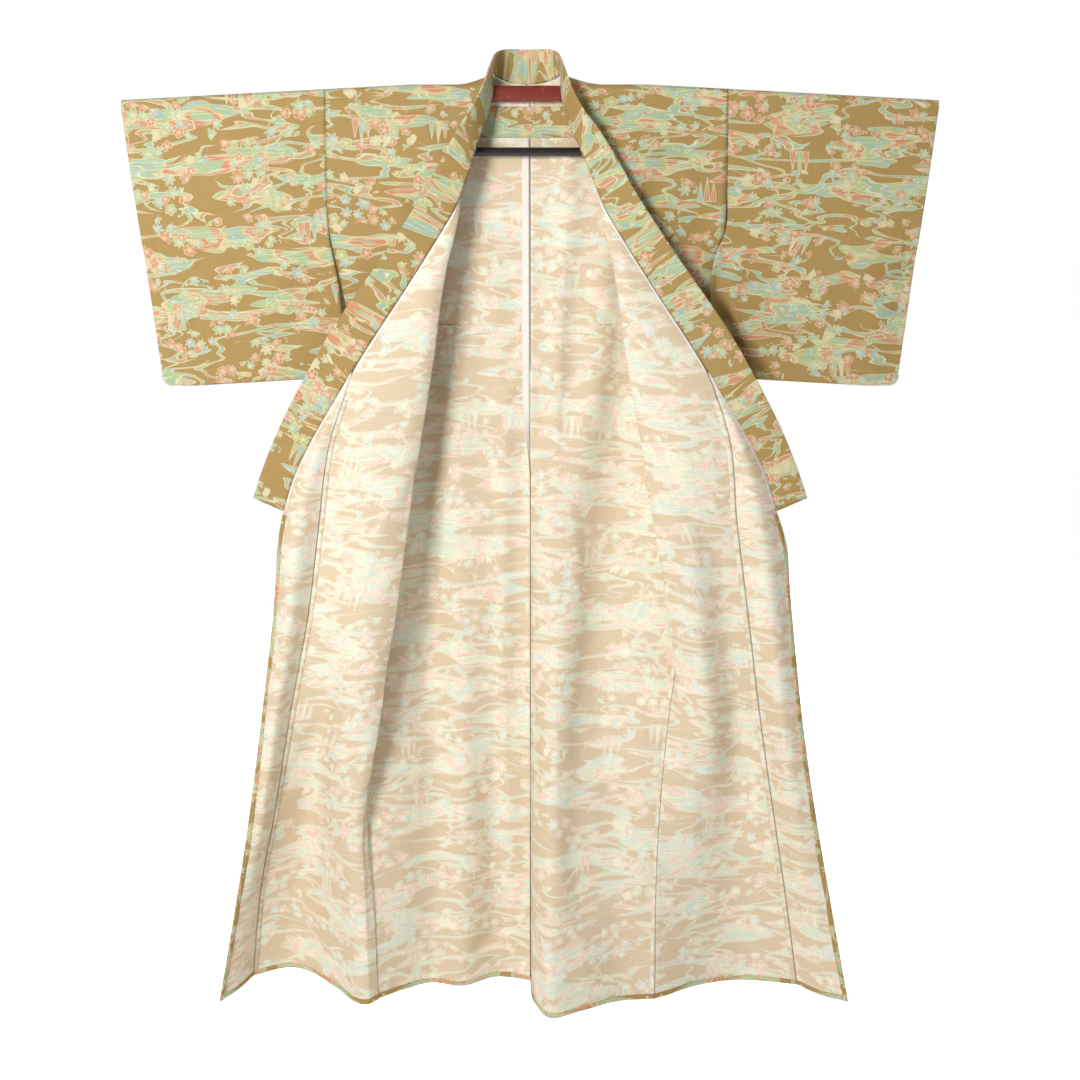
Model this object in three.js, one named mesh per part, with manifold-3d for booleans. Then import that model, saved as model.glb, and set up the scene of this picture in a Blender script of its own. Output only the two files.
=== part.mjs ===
// A woman's unlined kimono hung wide open on a straight hanger, with both front edges turned back.
// Millimetres, +Z up. The front of the garment faces -Y and the wearer's right side is at -X.
// The origin is the top middle of the hanger bar, where the hanger is held up.
// Every cloth panel is a grid of points over its drape, given a wall by moving them along their normals.
import * as THREE from "three";
import Module from "manifold-3d";
import { mergeVertices } from "three/addons/utils/BufferGeometryUtils.js";

const wasm = await Module();
wasm.setup();

// ---- driving sizes ----
const WALL = 1.5; // body, front bands and sleeves
const COLLAR_WALL = 3; // the collar is folded double
const SMALL_WALL = 1; // shoulder patch, seam tape and waist tuck
const SEAM_GAP = 0.3; // between neighbouring pieces
const COLLAR_GAP = 0.5; // between the thick collar and what it is sewn to
const GARMENT_LENGTH = 1641; // shoulder to hem
const ARM_END = 690; // centre back to the cuff, at the top fold
const ARMHOLE = 240; // depth over which sleeve and body are joined
const SIDE_OPEN_END = 400; // the side seam starts this far below the shoulder
const BAND_TOP = 478; // the front band's upper point lies this far below the shoulder
const NECK_SHIFT = -5; // the neck hangs this far off the middle of the bar
const RIGHT = -1,
  LEFT = 1; // the wearer's sides, as the sign of x

const BAR = { half: 640, thick: 18, tall: 27, flat: 200, droop: 0.052, bevel: 7.5 };
const RIDE = WALL / 2 + SEAM_GAP + 0.3; // the cloth's middle lies this far above the bar
const WRAP = BAR.thick / 2 + RIDE + 1.4; // radius of the cloth's bend over the bar
const OBI_BAR = { half: 210, radius: 7.5, top: -102, link: 150, linkRadius: 2.5 };

// ---- small maths ----
const lerp = (a, b, t) => a + (b - a) * t;
const clamp01 = (t) => Math.min(1, Math.max(0, t));
const ease = (t) => clamp01(t) ** 2 * (3 - 2 * clamp01(t));
const point = (x, y, z) => new THREE.Vector3(x, y, z);

// Smooth curve through the values ys at the rising places xs.
function smooth(xs, ys, x) {
  const n = xs.length - 1;
  let i = 0;
  while (i < n - 1 && x > xs[i + 1]) i++;
  const slope = (k) => (ys[k + 1] - ys[k]) / (xs[k + 1] - xs[k]);
  const tangent = (k) => {
    if (k === 0) return slope(0);
    if (k === n) return slope(n - 1);
    const before = xs[k] - xs[k - 1],
      after = xs[k + 1] - xs[k];
    return (slope(k - 1) * after + slope(k) * before) / (before + after);
  };
  const h = xs[i + 1] - xs[i];
  const t = clamp01((x - xs[i]) / h);
  const [t2, t3] = [t * t, t * t * t];
  return (
    (2 * t3 - 3 * t2 + 1) * ys[i] +
    (t3 - 2 * t2 + t) * h * tangent(i) +
    (3 * t2 - 2 * t3) * ys[i + 1] +
    (t3 - t2) * h * tangent(i + 1)
  );
}

// Named columns over rows of numbers whose first one rises; the result reads one row between the rows.
function table(columns, rows) {
  const places = rows.map((row) => row[0]);
  return (place) =>
    Object.fromEntries(
      columns.map((name, c) => [name, smooth(places, rows.map((row) => row[c]), place)]),
    );
}

// Points along a smooth curve through the controls, with counts[i] steps between controls i and i + 1.
function along(controls, counts) {
  const chord = [0];
  for (let i = 1; i < controls.length; i++)
    chord.push(chord[i - 1] + controls[i].distanceTo(controls[i - 1]));
  const read = (s) =>
    point(...["x", "y", "z"].map((k) => smooth(chord, controls.map((p) => p[k]), s)));
  const made = [];
  counts.forEach((count, i) => {
    for (let k = 0; k < count; k++) made.push(read(lerp(chord[i], chord[i + 1], k / count)));
  });
  made.push(controls[controls.length - 1].clone());
  return made;
}

// ---- the drape, as tables; depth is measured down from the shoulder, x out from the middle ----

// The collar's two long edges, from the middle of the back neck (step 0) to the tip (step 13).
const COLLAR = table(
  ["step", "seamX", "seamY", "seamZ", "freeX", "freeY", "freeZ"],
  [
    [0, 0, 18, 2, 0, 30, 60],
    [1, 30, 18, 5, 25, 27, 61],
    [2, 49, 14, 12, 42.5, 14, 59],
    [3, 58.5, 0, 18, 54, -18, 49],
    [4, 57, -14.5, -4, 62, -40, 29],
    [5, 61.5, -19, -33, 71, -54, 4],
    [6, 70.5, -26, -62, 85, -60, -27],
    [7, 84, -38, -96, 106, -62, -56],
    [8, 98.5, -47, -134, 137, -62, -104],
    [9, 124.5, -55, -200, 176, -64, -174],
    [10, 199, -66, -320, 252, -70, -288],
    [11, 285.5, -76, -450, 342, -78, -416],
    [12, 377.5, -74, -600, 428.5, -74, -572],
    [12.5, 405, -72, -655, 455, -72, -632],
    [13, 426, -70, -718, 478, -70, -695],
  ],
);
const COLLAR_TIP = 13;
const SHIFT_FADE = [6, 9]; // the neck's shift fades out between these collar steps

// The back from the centre seam (at x = 0) out to the side edge, in soft upright folds.
const BACK_COLUMNS = [
  "depth", "seamY", "x1", "y1", "x2", "y2", "x3", "y3", "x4", "y4", "sideX", "sideY",
];
const BACK_UPPER = [
  [0, 14, 70, 13, 140, 12.5, 210, 12, 275, 12, 340, 11.6],
  [40, 15, 70, 14, 140, 14, 210, 13, 275, 13, 338.5, 12.3],
  [240, 26, 70, 27, 140, 20, 205, 25, 268, 18, 331, 16],
  [350, 29, 66, 35, 132, 20, 196, 28, 256, 14, 315, 8],
  [450, 30, 64, 39, 128, 21, 190, 30, 250, 11, 311, 0],
];
const BACK = {
  [RIGHT]: table(BACK_COLUMNS, [
    ...BACK_UPPER,
    [720, 34, 62, 46, 124, 21, 185, 34, 246, 8, 311, -2],
    [1000, 36, 62, 50, 122, 19, 180, 34, 243, 7, 309, -7],
    [1300, 36, 62, 52, 120, 17, 176, 32, 236, 2, 297, -20],
    [1641, 36, 64, 54, 130, 16, 185, 32, 240, 2, 284, -28],
  ]),
  [LEFT]: table(BACK_COLUMNS, [
    ...BACK_UPPER,
    [720, 32, 22, 26, 62, 8, 130, 20, 215, 8, 300, -2],
    [1000, 34, 12, 8, 46, -22, 112, -2, 190, 8, 262, -10],
    [1300, 34, 9, -18, 38, -50, 92, -34, 160, -8, 234, -14],
    [1641, 34, 9, -42, 33, -78, 90, -62, 160, -26, 229, -20],
  ]),
};

// The front from the side edge: it runs in to the roll, turns there through the two given bearings, and
// runs out over itself to the front band's seam. Bearings are from the roll to the cloth before and after
// it, and 0 is outward.
const FRONT_COLUMNS = [
  "depth", "sideX", "sideY", "underX", "underY", "rollX", "rollY", "rollR", "from", "to",
  "overX", "overY", "farX", "farY",
];
const FRONT_UPPER = [
  [12, 340, -11.6, 300, -11.6, 200, -11.8, 34, 0, -180, 130, -12, 94, -12],
  [40, 338.5, -12.3, 290, -12.5, 170, -14, 28, 0, -180, 110, -16, 86, -17],
  [110, 336, -13.5, 262, -17, 126, -30, 8, 0, -180, 108, -33, 99, -35],
  [160, 334, -14.6, 245, -20, 121, -40, 3, 0, -160, 116, -42.5, 111.5, -45.5],
  [200, 332.5, -15.2, 240, -22, 118, -46, 3.5, 45, -60, 121, -50.5, 122.5, -53],
  [260, 329, -16, 236, -26, 130, -56, 6, 45, -45, 142, -62, 151, -62.5],
  [320, 320, -13, 234, -30, 144, -61, 10, 45, -45, 163, -72, 181, -70],
  [450, 311, 0, 234, -26, 163, -63, 13, 45, -45, 204, -80, 248, -81],
];
const FRONT = {
  [RIGHT]: table(FRONT_COLUMNS, [
    ...FRONT_UPPER,
    [600, 311, 0, 250, -22, 188, -62, 13, 45, -45, 245, -84, 296, -86],
    [720, 311, -2, 256, -24, 208, -64, 13, 45, -45, 262, -88, 315, -82],
    [900, 311, -5, 268, -28, 234, -68, 13, 45, -45, 288, -93, 342, -74],
    [1100, 306, -10, 283, -34, 266, -70, 12, 50, -45, 316, -84, 382, -24],
    [1300, 296, -22, 296, -34, 302, -48, 8, 110, -34, 342, -34, 412, 38],
    [1450, 287, -28, 291, -33, 301, -43, 7, 135, 8, 350, -6, 428, 60],
    [1641, 282, -30, 287, -35, 297, -44, 7, 140, 5, 365, 15, 455, 80],
  ]),
  [LEFT]: table(FRONT_COLUMNS, [
    ...FRONT_UPPER,
    [600, 308, 0, 252, -20, 191, -60, 13, 45, -45, 245, -84, 296, -86],
    [720, 300, -2, 254, -20, 211, -62, 13, 45, -45, 262, -87, 314, -80],
    [900, 281, -6, 262, -26, 240, -60, 11, 50, -45, 288, -84, 342, -56],
    [1000, 263, -12, 259, -24, 257, -42, 8, 85, -45, 300, -74, 358, -38],
    [1100, 249, -18, 254, -26, 263, -37, 7, 130, -40, 316, -62, 372, -22],
    [1300, 234, -20, 241, -20, 253, -20, 7, 180, 0, 300, -18, 380, 18],
    [1450, 229, -20, 236, -18, 248, -14, 7, 198, 18, 298, 4, 382, 38],
    [1641, 229, -20, 236, -17, 248, -11, 7, 206, 27, 300, 20, 385, 50],
  ]),
};

// The front band: its seam to the front, its free edge below the collar, and how far it bows forward.
const BAND_COLUMNS = ["depth", "seamX", "seamY", "edgeX", "edgeY", "bow"];
const BAND = {
  [RIGHT]: table(BAND_COLUMNS, [
    [478, 302, -77, 306, -76, 0],
    [530, 320, -79, 333, -76, 2],
    [600, 343, -80, 378, -74, 9],
    [720, 362, -72, 426, -70, 20],
    [900, 388, -58, 449, -62, 26],
    [1100, 431, -30, 478, -52, 26],
    [1300, 469, 0, 509, -42, 22],
    [1450, 501, 28, 536, -34, 18],
    [1641, 525, 55, 575, -26, 12],
  ]),
  [LEFT]: table(BAND_COLUMNS, [
    [478, 302, -77, 306, -76, 0],
    [530, 322, -79, 335, -76, 2],
    [600, 343, -80, 378, -74, 9],
    [720, 355.5, -72, 431, -70, 20],
    [900, 381.5, -56, 457, -62, 26],
    [1100, 411, -28, 483, -52, 26],
    [1300, 444, -8, 517, -42, 22],
    [1450, 470, 12, 547, -34, 18],
    [1641, 500, 35, 586, -26, 12],
  ]),
};

// The body's side edge from the shoulder to the side seam; it is the armhole down to its foot.
const SIDE_COLUMNS = ["depth", "x", "frontY", "backY"];
const SIDE_EDGE = {
  [RIGHT]: table(SIDE_COLUMNS, [
    [12, 345, -11.8, 11.8],
    [150, 346, -14.4, 14],
    [240, 343, -15.6, 16],
    [330, 325, -14, 11],
    [385, 315, -10, 5],
    [450, 311, 0, 0],
  ]),
  [LEFT]: table(SIDE_COLUMNS, [
    [12, 334, -11.8, 11.8],
    [150, 335, -14.4, 14],
    [240, 332, -15.6, 16],
    [275, 328, -9, 15],
    [385, 314, -4, 5],
    [450, 311, 0, 0],
  ]),
};

// The sleeve's inner edge: it follows the armhole, then hangs free with its front and back apart.
const SLEEVE_EDGE_COLUMNS = ["depth", "frontX", "backX", "frontY", "backY"];
const SLEEVE_EDGE = {
  [RIGHT]: table(SLEEVE_EDGE_COLUMNS, [
    [12, 345, 345, -11.8, 11.8],
    [150, 346, 346, -14.4, 14],
    [240, 343, 343, -15.6, 16],
    [330, 328.5, 325, -14, 16],
    [380, 324, 316, -12, 14],
    [492, 318, 312, -9, 8],
  ]),
  [LEFT]: table(SLEEVE_EDGE_COLUMNS, [
    [12, 334, 334, -11.8, 11.8],
    [150, 335, 335, -14.4, 14],
    [240, 331.5, 332, -15.6, 16],
    [275, 318, 327, -17, 18],
    [365, 307, 318, -18, 16],
    [492, 312, 312, -14, 8],
  ]),
};

// How far each stretch of the hem hangs below (+) or above (-) its level, by distance from the middle.
const HEM_SAG = {
  [RIGHT]: table(
    ["x", "sag"],
    [[0, -8], [130, -6], [284, 0], [303, 3], [410, -12], [470, -14], [525, -8], [575, 6]],
  ),
  [LEFT]: table(
    ["x", "sag"],
    [[0, -8], [9, 4], [33, 13], [90, 8], [229, 3], [300, -2], [385, -2], [500, 0], [586, 6]],
  ),
};
const HEM_SAG_REACH = 500; // the sag fades out this far above the hem

const DEPTHS = [
  40, 75, 110, 150, 200, 240, 268, 310, 360, 410, 450, 478, 530, 600, 660, 718, 780, 850, 920, 1000,
  1080, 1160, 1240, 1320, 1400, 1480, 1560, GARMENT_LENGTH,
];
const YOKE_ROW = 28; // one more row on the back, below the bar
const FRONT_STEPS = [2, 3, 2, 2, 2, 3, 3]; // columns between the front's control points
const COLUMNS = FRONT_STEPS.reduce((a, b) => a + b);

// ---- the drape, as points ----

// Height of the cloth's middle along the top of the bar.
const topZ = (x) => RIDE - BAR.droop * Math.max(0, Math.abs(x) - BAR.flat);

// The body's side edge at a depth; below the side opening's foot it is the row's own.
function sideOf(side, depth, row, layer) {
  if (depth >= 450) return [row.sideX, row.sideY];
  const edge = SIDE_EDGE[side](Math.max(12, depth));
  return [edge.x, layer < 0 ? edge.frontY : edge.backY];
}

// Hem sag at a place near the hem.
function sagged(side, p) {
  const share = ease(1 - (GARMENT_LENGTH + p.z) / HEM_SAG_REACH);
  p.z -= HEM_SAG[side](Math.abs(p.x)).sag * share;
  return p;
}

function collarRung(side, step) {
  const c = COLLAR(step);
  const shift = NECK_SHIFT * ease((SHIFT_FADE[1] - step) / (SHIFT_FADE[1] - SHIFT_FADE[0]));
  return {
    seam: point(side * c.seamX + shift, c.seamY, c.seamZ),
    free: point(side * c.freeX + shift, c.freeY, c.freeZ),
  };
}

// The collar step at which its seam reaches a depth below the shoulder.
function collarStepAt(depth) {
  let [low, high] = [3, COLLAR_TIP];
  for (let i = 0; i < 40; i++) {
    const middle = (low + high) / 2;
    if (-COLLAR(middle).seamZ < depth) low = middle;
    else high = middle;
  }
  return (low + high) / 2;
}

// One row of the back, from the side edge in to the centre seam.
function backRow(side, depth) {
  const b = BACK[side](depth);
  const controls = [
    sideOf(side, depth, b, 1), [b.x4, b.y4], [b.x3, b.y3], [b.x2, b.y2], [b.x1, b.y1], [0, b.seamY],
  ].map(([x, y]) => sagged(side, point(side * x, y, -depth)));
  const chord = along(controls, [12, 12, 12, 12, 12]);
  return Array.from({ length: COLUMNS + 1 }, (_, j) => {
    const k = (j / COLUMNS) * (chord.length - 1);
    const i = Math.min(chord.length - 2, Math.floor(k));
    return chord[i].clone().lerp(chord[i + 1], k - i);
  });
}

// One row of the front, from the side edge to the collar seam or, lower down, the front band's seam.
function frontRow(side, depth) {
  const f = FRONT[side](depth);
  const turn = (bearing) => {
    const a = THREE.MathUtils.degToRad(bearing);
    return [f.rollX + f.rollR * Math.cos(a), f.rollY + f.rollR * Math.sin(a)];
  };
  const band = BAND[side](depth);
  const last =
    depth < BAND_TOP
      ? collarRung(side, collarStepAt(depth)).seam
      : point(side * band.seamX, band.seamY, -depth);
  const controls = [
    sideOf(side, depth, f, -1),
    [f.underX, f.underY],
    turn(f.from),
    [f.rollX, f.rollY],
    turn(f.to),
    [f.overX, f.overY],
    [f.farX, f.farY],
  ].map(([x, y]) => point(side * x, y, -depth));
  return along([...controls, last], FRONT_STEPS).map((p) => sagged(side, p));
}

// A point of the cloth's bend over the bar, at an angle from the back (0) to the front (180).
function overBar(x, angle) {
  const a = THREE.MathUtils.degToRad(angle);
  const bend = (k) => Math.sign(k) * Math.abs(k) ** 0.65;
  return point(x, WRAP * bend(Math.cos(a)), topZ(x) - WRAP + WRAP * bend(Math.sin(a)));
}

// One row over the bar, reaching in to the collar seam.
function shoulderRow(side, angle, step) {
  const inner = collarRung(side, step).seam;
  const over = (x) => overBar(x, angle);
  const lift = inner.clone().sub(over(inner.x));
  const outerX = side * SIDE_EDGE[side](12).x;
  return Array.from({ length: COLUMNS + 1 }, (_, j) => {
    const x = lerp(outerX, inner.x, j / COLUMNS);
    const near = clamp01((125 - Math.abs(x)) / (125 - Math.abs(inner.x)));
    return over(x).addScaledVector(lift, near ** 2 * (1.6 - 0.6 * near));
  });
}

const SHOULDER_ROWS = [
  [0, 0], [28, 1], [55, 2], [90, 3], [125, 3.55], [152, 4.05], [180, 4.5],
]; // angle over the bar, collar step at the inner end

function bandRow(side, depth) {
  const b = BAND[side](depth);
  const seam = frontRow(side, depth)[COLUMNS];
  const edge =
    depth <= -COLLAR(COLLAR_TIP).seamZ
      ? collarRung(side, collarStepAt(depth)).seam
      : sagged(side, point(side * b.edgeX, b.edgeY, -depth));
  const middle = seam.clone().lerp(edge, 0.5).add(point(0, -b.bow, 0));
  if (depth > BAND_TOP) return along([seam, middle, edge], [3, 3]);
  const tip = seam.clone().add(point(side * 3, 0, 0));
  return Array.from({ length: 7 }, (_, j) => seam.clone().lerp(tip, j / 6));
}

// ---- walls ----

// Normals of a grid of points, rows by columns.
function normalsOf(grid) {
  const rows = grid.length - 1,
    columns = grid[0].length - 1;
  return grid.map((row, i) =>
    row.map((_, j) => {
      const down = grid[Math.min(rows, i + 1)][j].clone().sub(grid[Math.max(0, i - 1)][j]);
      const across = grid[i][Math.min(columns, j + 1)].clone().sub(grid[i][Math.max(0, j - 1)]);
      return down.cross(across).normalize();
    }),
  );
}

// A closed wall over a grid, half to each side; a closed grid joins its last column to its first.
function wall(grid, thickness, closed = false) {
  const normals = closed ? ringNormals(grid) : normalsOf(grid);
  const rows = grid.length,
    columns = grid[0].length,
    count = rows * columns;
  const vertices = [];
  for (const sign of [1, -1])
    grid.forEach((row, i) =>
      row.forEach((p, j) =>
        vertices.push(...p.clone().addScaledVector(normals[i][j], (sign * thickness) / 2).toArray()),
      ),
    );
  const faces = [];
  const quad = (a, b, c, d) => faces.push(a, b, c, a, c, d);
  const at = (i, j, under) => under * count + i * columns + (j % columns);
  const spans = closed ? columns : columns - 1;
  for (let i = 0; i < rows - 1; i++)
    for (let j = 0; j < spans; j++) {
      quad(at(i, j, 0), at(i + 1, j, 0), at(i + 1, j + 1, 0), at(i, j + 1, 0));
      quad(at(i, j, 1), at(i, j + 1, 1), at(i + 1, j + 1, 1), at(i + 1, j, 1));
    }
  for (let j = 0; j < spans; j++) {
    quad(at(0, j, 0), at(0, j + 1, 0), at(0, j + 1, 1), at(0, j, 1));
    quad(at(rows - 1, j, 0), at(rows - 1, j, 1), at(rows - 1, j + 1, 1), at(rows - 1, j + 1, 0));
  }
  if (!closed)
    for (let i = 0; i < rows - 1; i++) {
      const end = columns - 1;
      quad(at(i, 0, 0), at(i, 0, 1), at(i + 1, 0, 1), at(i + 1, 0, 0));
      quad(at(i, end, 0), at(i + 1, end, 0), at(i + 1, end, 1), at(i, end, 1));
    }
  return facingOut(vertices, faces);
}

function ringNormals(grid) {
  const wide = normalsOf(grid.map((row) => [row[row.length - 1], ...row, row[0]]));
  return wide.map((row) => row.slice(1, -1));
}

// The geometry of a closed mesh, turned so that its faces point out.
function facingOut(vertices, faces) {
  let volume = 0;
  const corner = (k) => point(...vertices.slice(3 * k, 3 * k + 3));
  for (let k = 0; k < faces.length; k += 3)
    volume += corner(faces[k]).dot(corner(faces[k + 1]).cross(corner(faces[k + 2])));
  if (volume < 0)
    for (let k = 0; k < faces.length; k += 3) [faces[k + 1], faces[k + 2]] = [faces[k + 2], faces[k + 1]];
  return new THREE.BufferGeometry()
    .setAttribute("position", new THREE.Float32BufferAttribute(vertices, 3))
    .setIndex(faces);
}

// Draws two edges that share a seam line apart: end to end on flat cloth, side by side where it is folded.
// Each edge is {grid rows, edge column, the column next to it, half its wall}.
function openSeam(a, b, gap = SEAM_GAP) {
  a.rows.forEach((rowA, i) => {
    const rowB = b.rows[i];
    const meet = rowA[a.edge].clone().add(rowB[b.edge]).multiplyScalar(0.5);
    const arriving = meet.clone().sub(rowA[a.next]).normalize();
    const leaving = rowB[b.next].clone().sub(meet).normalize();
    const across = arriving.add(leaving);
    const folded = Math.sqrt(Math.max(0, 1 - (across.length() / 2) ** 2));
    across.normalize();
    rowA[a.edge].copy(meet).addScaledVector(across, -(gap / 2 + a.half * folded));
    rowB[b.edge].copy(meet).addScaledVector(across, gap / 2 + b.half * folded);
  });
}

// ---- the panels ----

function bodyGrid(side) {
  const back = [...DEPTHS].reverse().map((depth) => backRow(side, depth));
  const top = SHOULDER_ROWS.map(([angle, step]) => shoulderRow(side, angle, step));
  const front = DEPTHS.map((depth) => frontRow(side, depth));
  return { back, top, front, rows: [...back, backRow(side, YOKE_ROW), ...top, ...front] };
}

const bandDepths = DEPTHS.filter((depth) => depth >= BAND_TOP);
const grids = {};
for (const side of [RIGHT, LEFT]) {
  const body = bodyGrid(side);
  grids[side] = { body, band: bandDepths.map((depth) => bandRow(side, depth)) };
}

// Collar stations run from the middle of the neck to the tip, one for each row that they meet.
function collarHalf(side) {
  const besideFront = DEPTHS.filter((depth) => depth <= 718).map(collarStepAt);
  const steps = [...SHOULDER_ROWS.map(([, step]) => step), ...besideFront];
  return steps.map((step) => {
    const { seam, free } = collarRung(side, Math.min(COLLAR_TIP, step));
    return [0, 1, 2, 3].map((k) => seam.clone().lerp(free, k / 3));
  });
}
const collarHalves = { [RIGHT]: collarHalf(RIGHT), [LEFT]: collarHalf(LEFT) };

const half = WALL / 2,
  collarHalfWall = COLLAR_WALL / 2;
for (const side of [RIGHT, LEFT]) {
  const { body, band } = grids[side];
  const collar = collarHalves[side];
  const neckRows = SHOULDER_ROWS.length;
  const aboveBand = DEPTHS.filter((d) => d < BAND_TOP).length;
  openSeam(
    { rows: [...body.top, ...body.front.slice(0, aboveBand)], edge: COLUMNS, next: COLUMNS - 1, half },
    { rows: collar.slice(0, neckRows + aboveBand), edge: 0, next: 1, half: collarHalfWall },
    COLLAR_GAP,
  );
  openSeam(
    { rows: band.slice(0, collar.length - neckRows - aboveBand), edge: 6, next: 5, half },
    { rows: collar.slice(neckRows + aboveBand), edge: 0, next: 1, half: collarHalfWall },
    COLLAR_GAP,
  );
  openSeam(
    { rows: body.front.slice(aboveBand), edge: COLUMNS, next: COLUMNS - 1, half },
    { rows: band, edge: 0, next: 1, half },
  );
  for (const [i, row] of band.entries()) {
    const drawn = bandRow(side, bandDepths[i]);
    const [first, last] = [row[0].clone().sub(drawn[0]), row[6].clone().sub(drawn[6])];
    for (let j = 1; j < 6; j++) row[j].addScaledVector(first, 1 - j / 6).addScaledVector(last, j / 6);
  }
  const belowOpening = DEPTHS.filter((d) => d < SIDE_OPEN_END).length;
  openSeam(
    { rows: [...body.back].reverse().slice(belowOpening), edge: 0, next: 1, half },
    { rows: body.front.slice(belowOpening), edge: 0, next: 1, half },
  );
  // The armhole edge stops short of the sleeve by half the seam gap.
  for (const row of body.rows)
    if (row[0].z > -ARMHOLE - 1) row[0].x -= (side * SEAM_GAP) / 2;
}
const backRows = (side) => grids[side].body.rows.slice(0, DEPTHS.length + 1);
openSeam(
  { rows: backRows(RIGHT), edge: COLUMNS, next: COLUMNS - 1, half },
  { rows: backRows(LEFT), edge: COLUMNS, next: COLUMNS - 1, half },
);

// ---- sleeves: flat tubes over the bar, folded at the top, shut at the foot and below the hand ----
const CUFF_OPEN = 0.47; // share of the cuff's height that stays open for the hand
const CUFF_LEAN = 49; // the cuff's foot lies this much nearer the middle than its top
const FOOT = { inner: -492, outer: -512, round: 17, fold: 4 }; // edge heights, corner and fold radius
const SLEEVE_STATIONS = [0, 0.08, 0.2, 0.35, 0.5, 0.65, 0.78, 0.88, 0.94, 0.97, 0.99, 1];
const SLEEVE_LEVELS = [32, 75, 110, 150, 200, ARMHOLE, 280, 335, 395, 450, 492].map((depth) => depth / 492);

// A point of a sleeve: along01 runs from the armhole to the cuff, level from the shoulder fold to the
// bottom edge, layer is -1 for the front and 1 for the back, and fold turns the bottom edge under.
function sleevePoint(side, along01, level, layer, fold = 0) {
  const front = layer < 0;
  const edge = SLEEVE_EDGE[side](Math.max(12, -FOOT.inner * level));
  const inner = (front ? edge.frontX : edge.backX) + SEAM_GAP / 2;
  const x = lerp(inner, ARM_END - CUFF_LEAN * level, along01);
  const top = topZ(lerp(SIDE_EDGE[side](12).x, ARM_END, along01)) - WRAP;
  const reach = (ARM_END - CUFF_LEAN - x) / FOOT.round;
  const corner = reach < 1 ? FOOT.round * (1 - Math.sqrt(Math.max(0, 1 - (1 - reach) ** 2))) : 0;
  const foot = lerp(FOOT.inner, FOOT.outer, along01) + corner + FOOT.fold;
  const bulge = WRAP + 2 * Math.sin(Math.PI * Math.min(1, 2 * level));
  const hang = lerp(bulge, FOOT.fold, ease((level - 0.1) / 0.9));
  const soft = 5 * Math.sin(Math.PI * along01) * Math.sin(Math.PI * level);
  const shut = ease((along01 - 0.82) / 0.17) * ease((level - CUFF_OPEN) / 0.1);
  const open = lerp(hang + soft, (WALL + SEAM_GAP) / 2, shut);
  const sway = 5 * level * along01 - 6 * level * (1 - along01);
  const free = layer * open + sway;
  const y = lerp(front ? edge.frontY : edge.backY, free, ease(along01 / 0.3));
  const middle = lerp((edge.frontY + edge.backY) / 2, sway, ease(along01 / 0.3));
  const drop = fold ? Math.max(1.2, Math.min(open, FOOT.fold) * Math.sin(Math.PI / 4)) : 0;
  const round = clamp01(1 - reach);
  return point(
    side * (x + drop * round),
    middle + (y - middle) * Math.cos(fold),
    lerp(top, foot, level) - drop * Math.sqrt(1 - round ** 2),
  );
}

function sleeveGrid(side) {
  const inner = SIDE_EDGE[side](12).x + SEAM_GAP / 2;
  return SLEEVE_STATIONS.map((station) => {
    const ring = [...SLEEVE_LEVELS].reverse().map((level) => sleevePoint(side, station, level, -1));
    const x = side * lerp(inner, ARM_END, station);
    for (const angle of [180, 152, 125, 90, 55, 28, 0]) ring.push(overBar(x, angle));
    ring.push(...SLEEVE_LEVELS.map((level) => sleevePoint(side, station, level, 1)));
    ring.push(sleevePoint(side, station, 1, 1, Math.PI / 4), sleevePoint(side, station, 1, -1, Math.PI / 4));
    return ring;
  });
}

// ---- pieces that lie on the back's inner side, made from its points moved in ----

// A point over the inner side of the back as built, at a depth and a distance from the centre seam.
function onBack(side, depth, x, clearance) {
  const places = [...[...DEPTHS].reverse(), YOKE_ROW, WRAP];
  const rows = grids[side].body.rows;
  const i = places.findIndex((place, k) => k > 0 && place <= depth);
  const across = (row, distance) => {
    let j = COLUMNS;
    while (j > 1 && Math.abs(row[j - 1].x) < distance) j--;
    const [a, b] = [row[j], row[j - 1]];
    return a.clone().lerp(b, (distance - Math.abs(a.x)) / (Math.abs(b.x) - Math.abs(a.x)));
  };
  const share = (places[i - 1] - depth) / (places[i - 1] - places[i]);
  const at = (distance) => across(rows[i - 1], distance).lerp(across(rows[i], distance), share);
  const slope = at(x + 2).sub(at(x)).normalize();
  return at(x).add(point(side * slope.y, -side * slope.x, 0).multiplyScalar(clearance));
}

const LAID_ON = (WALL + SMALL_WALL) / 2 + SEAM_GAP + 0.1;
const TUCKED = LAID_ON + 0.9;
const TAPE = { width: 12.5, from: 90, edge: 1.6, turn: [560, 720] }; // its lower part stands up
const PATCH = { half: 150, depths: [YOKE_ROW, 40, 58, 75, 86] };
const TUCK = { depths: [404, 410, 424, 440], from: 16, to: 296, bow: 2.2 };

function tapeGrid() {
  return [TAPE.from, ...DEPTHS.filter((d) => d > TAPE.from + 10)].map((depth) => {
    const inner = onBack(RIGHT, depth, TAPE.edge, LAID_ON);
    const outer = onBack(RIGHT, depth, TAPE.edge + TAPE.width, LAID_ON);
    const flat = outer.clone().sub(inner).setZ(0);
    const turned = ease((depth - TAPE.turn[0]) / (TAPE.turn[1] - TAPE.turn[0])) * 1.25;
    flat.applyAxisAngle(point(0, 0, 1), turned).setLength(TAPE.width);
    return [0, 0.5, 1].map((k) => inner.clone().addScaledVector(flat, k));
  });
}

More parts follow.
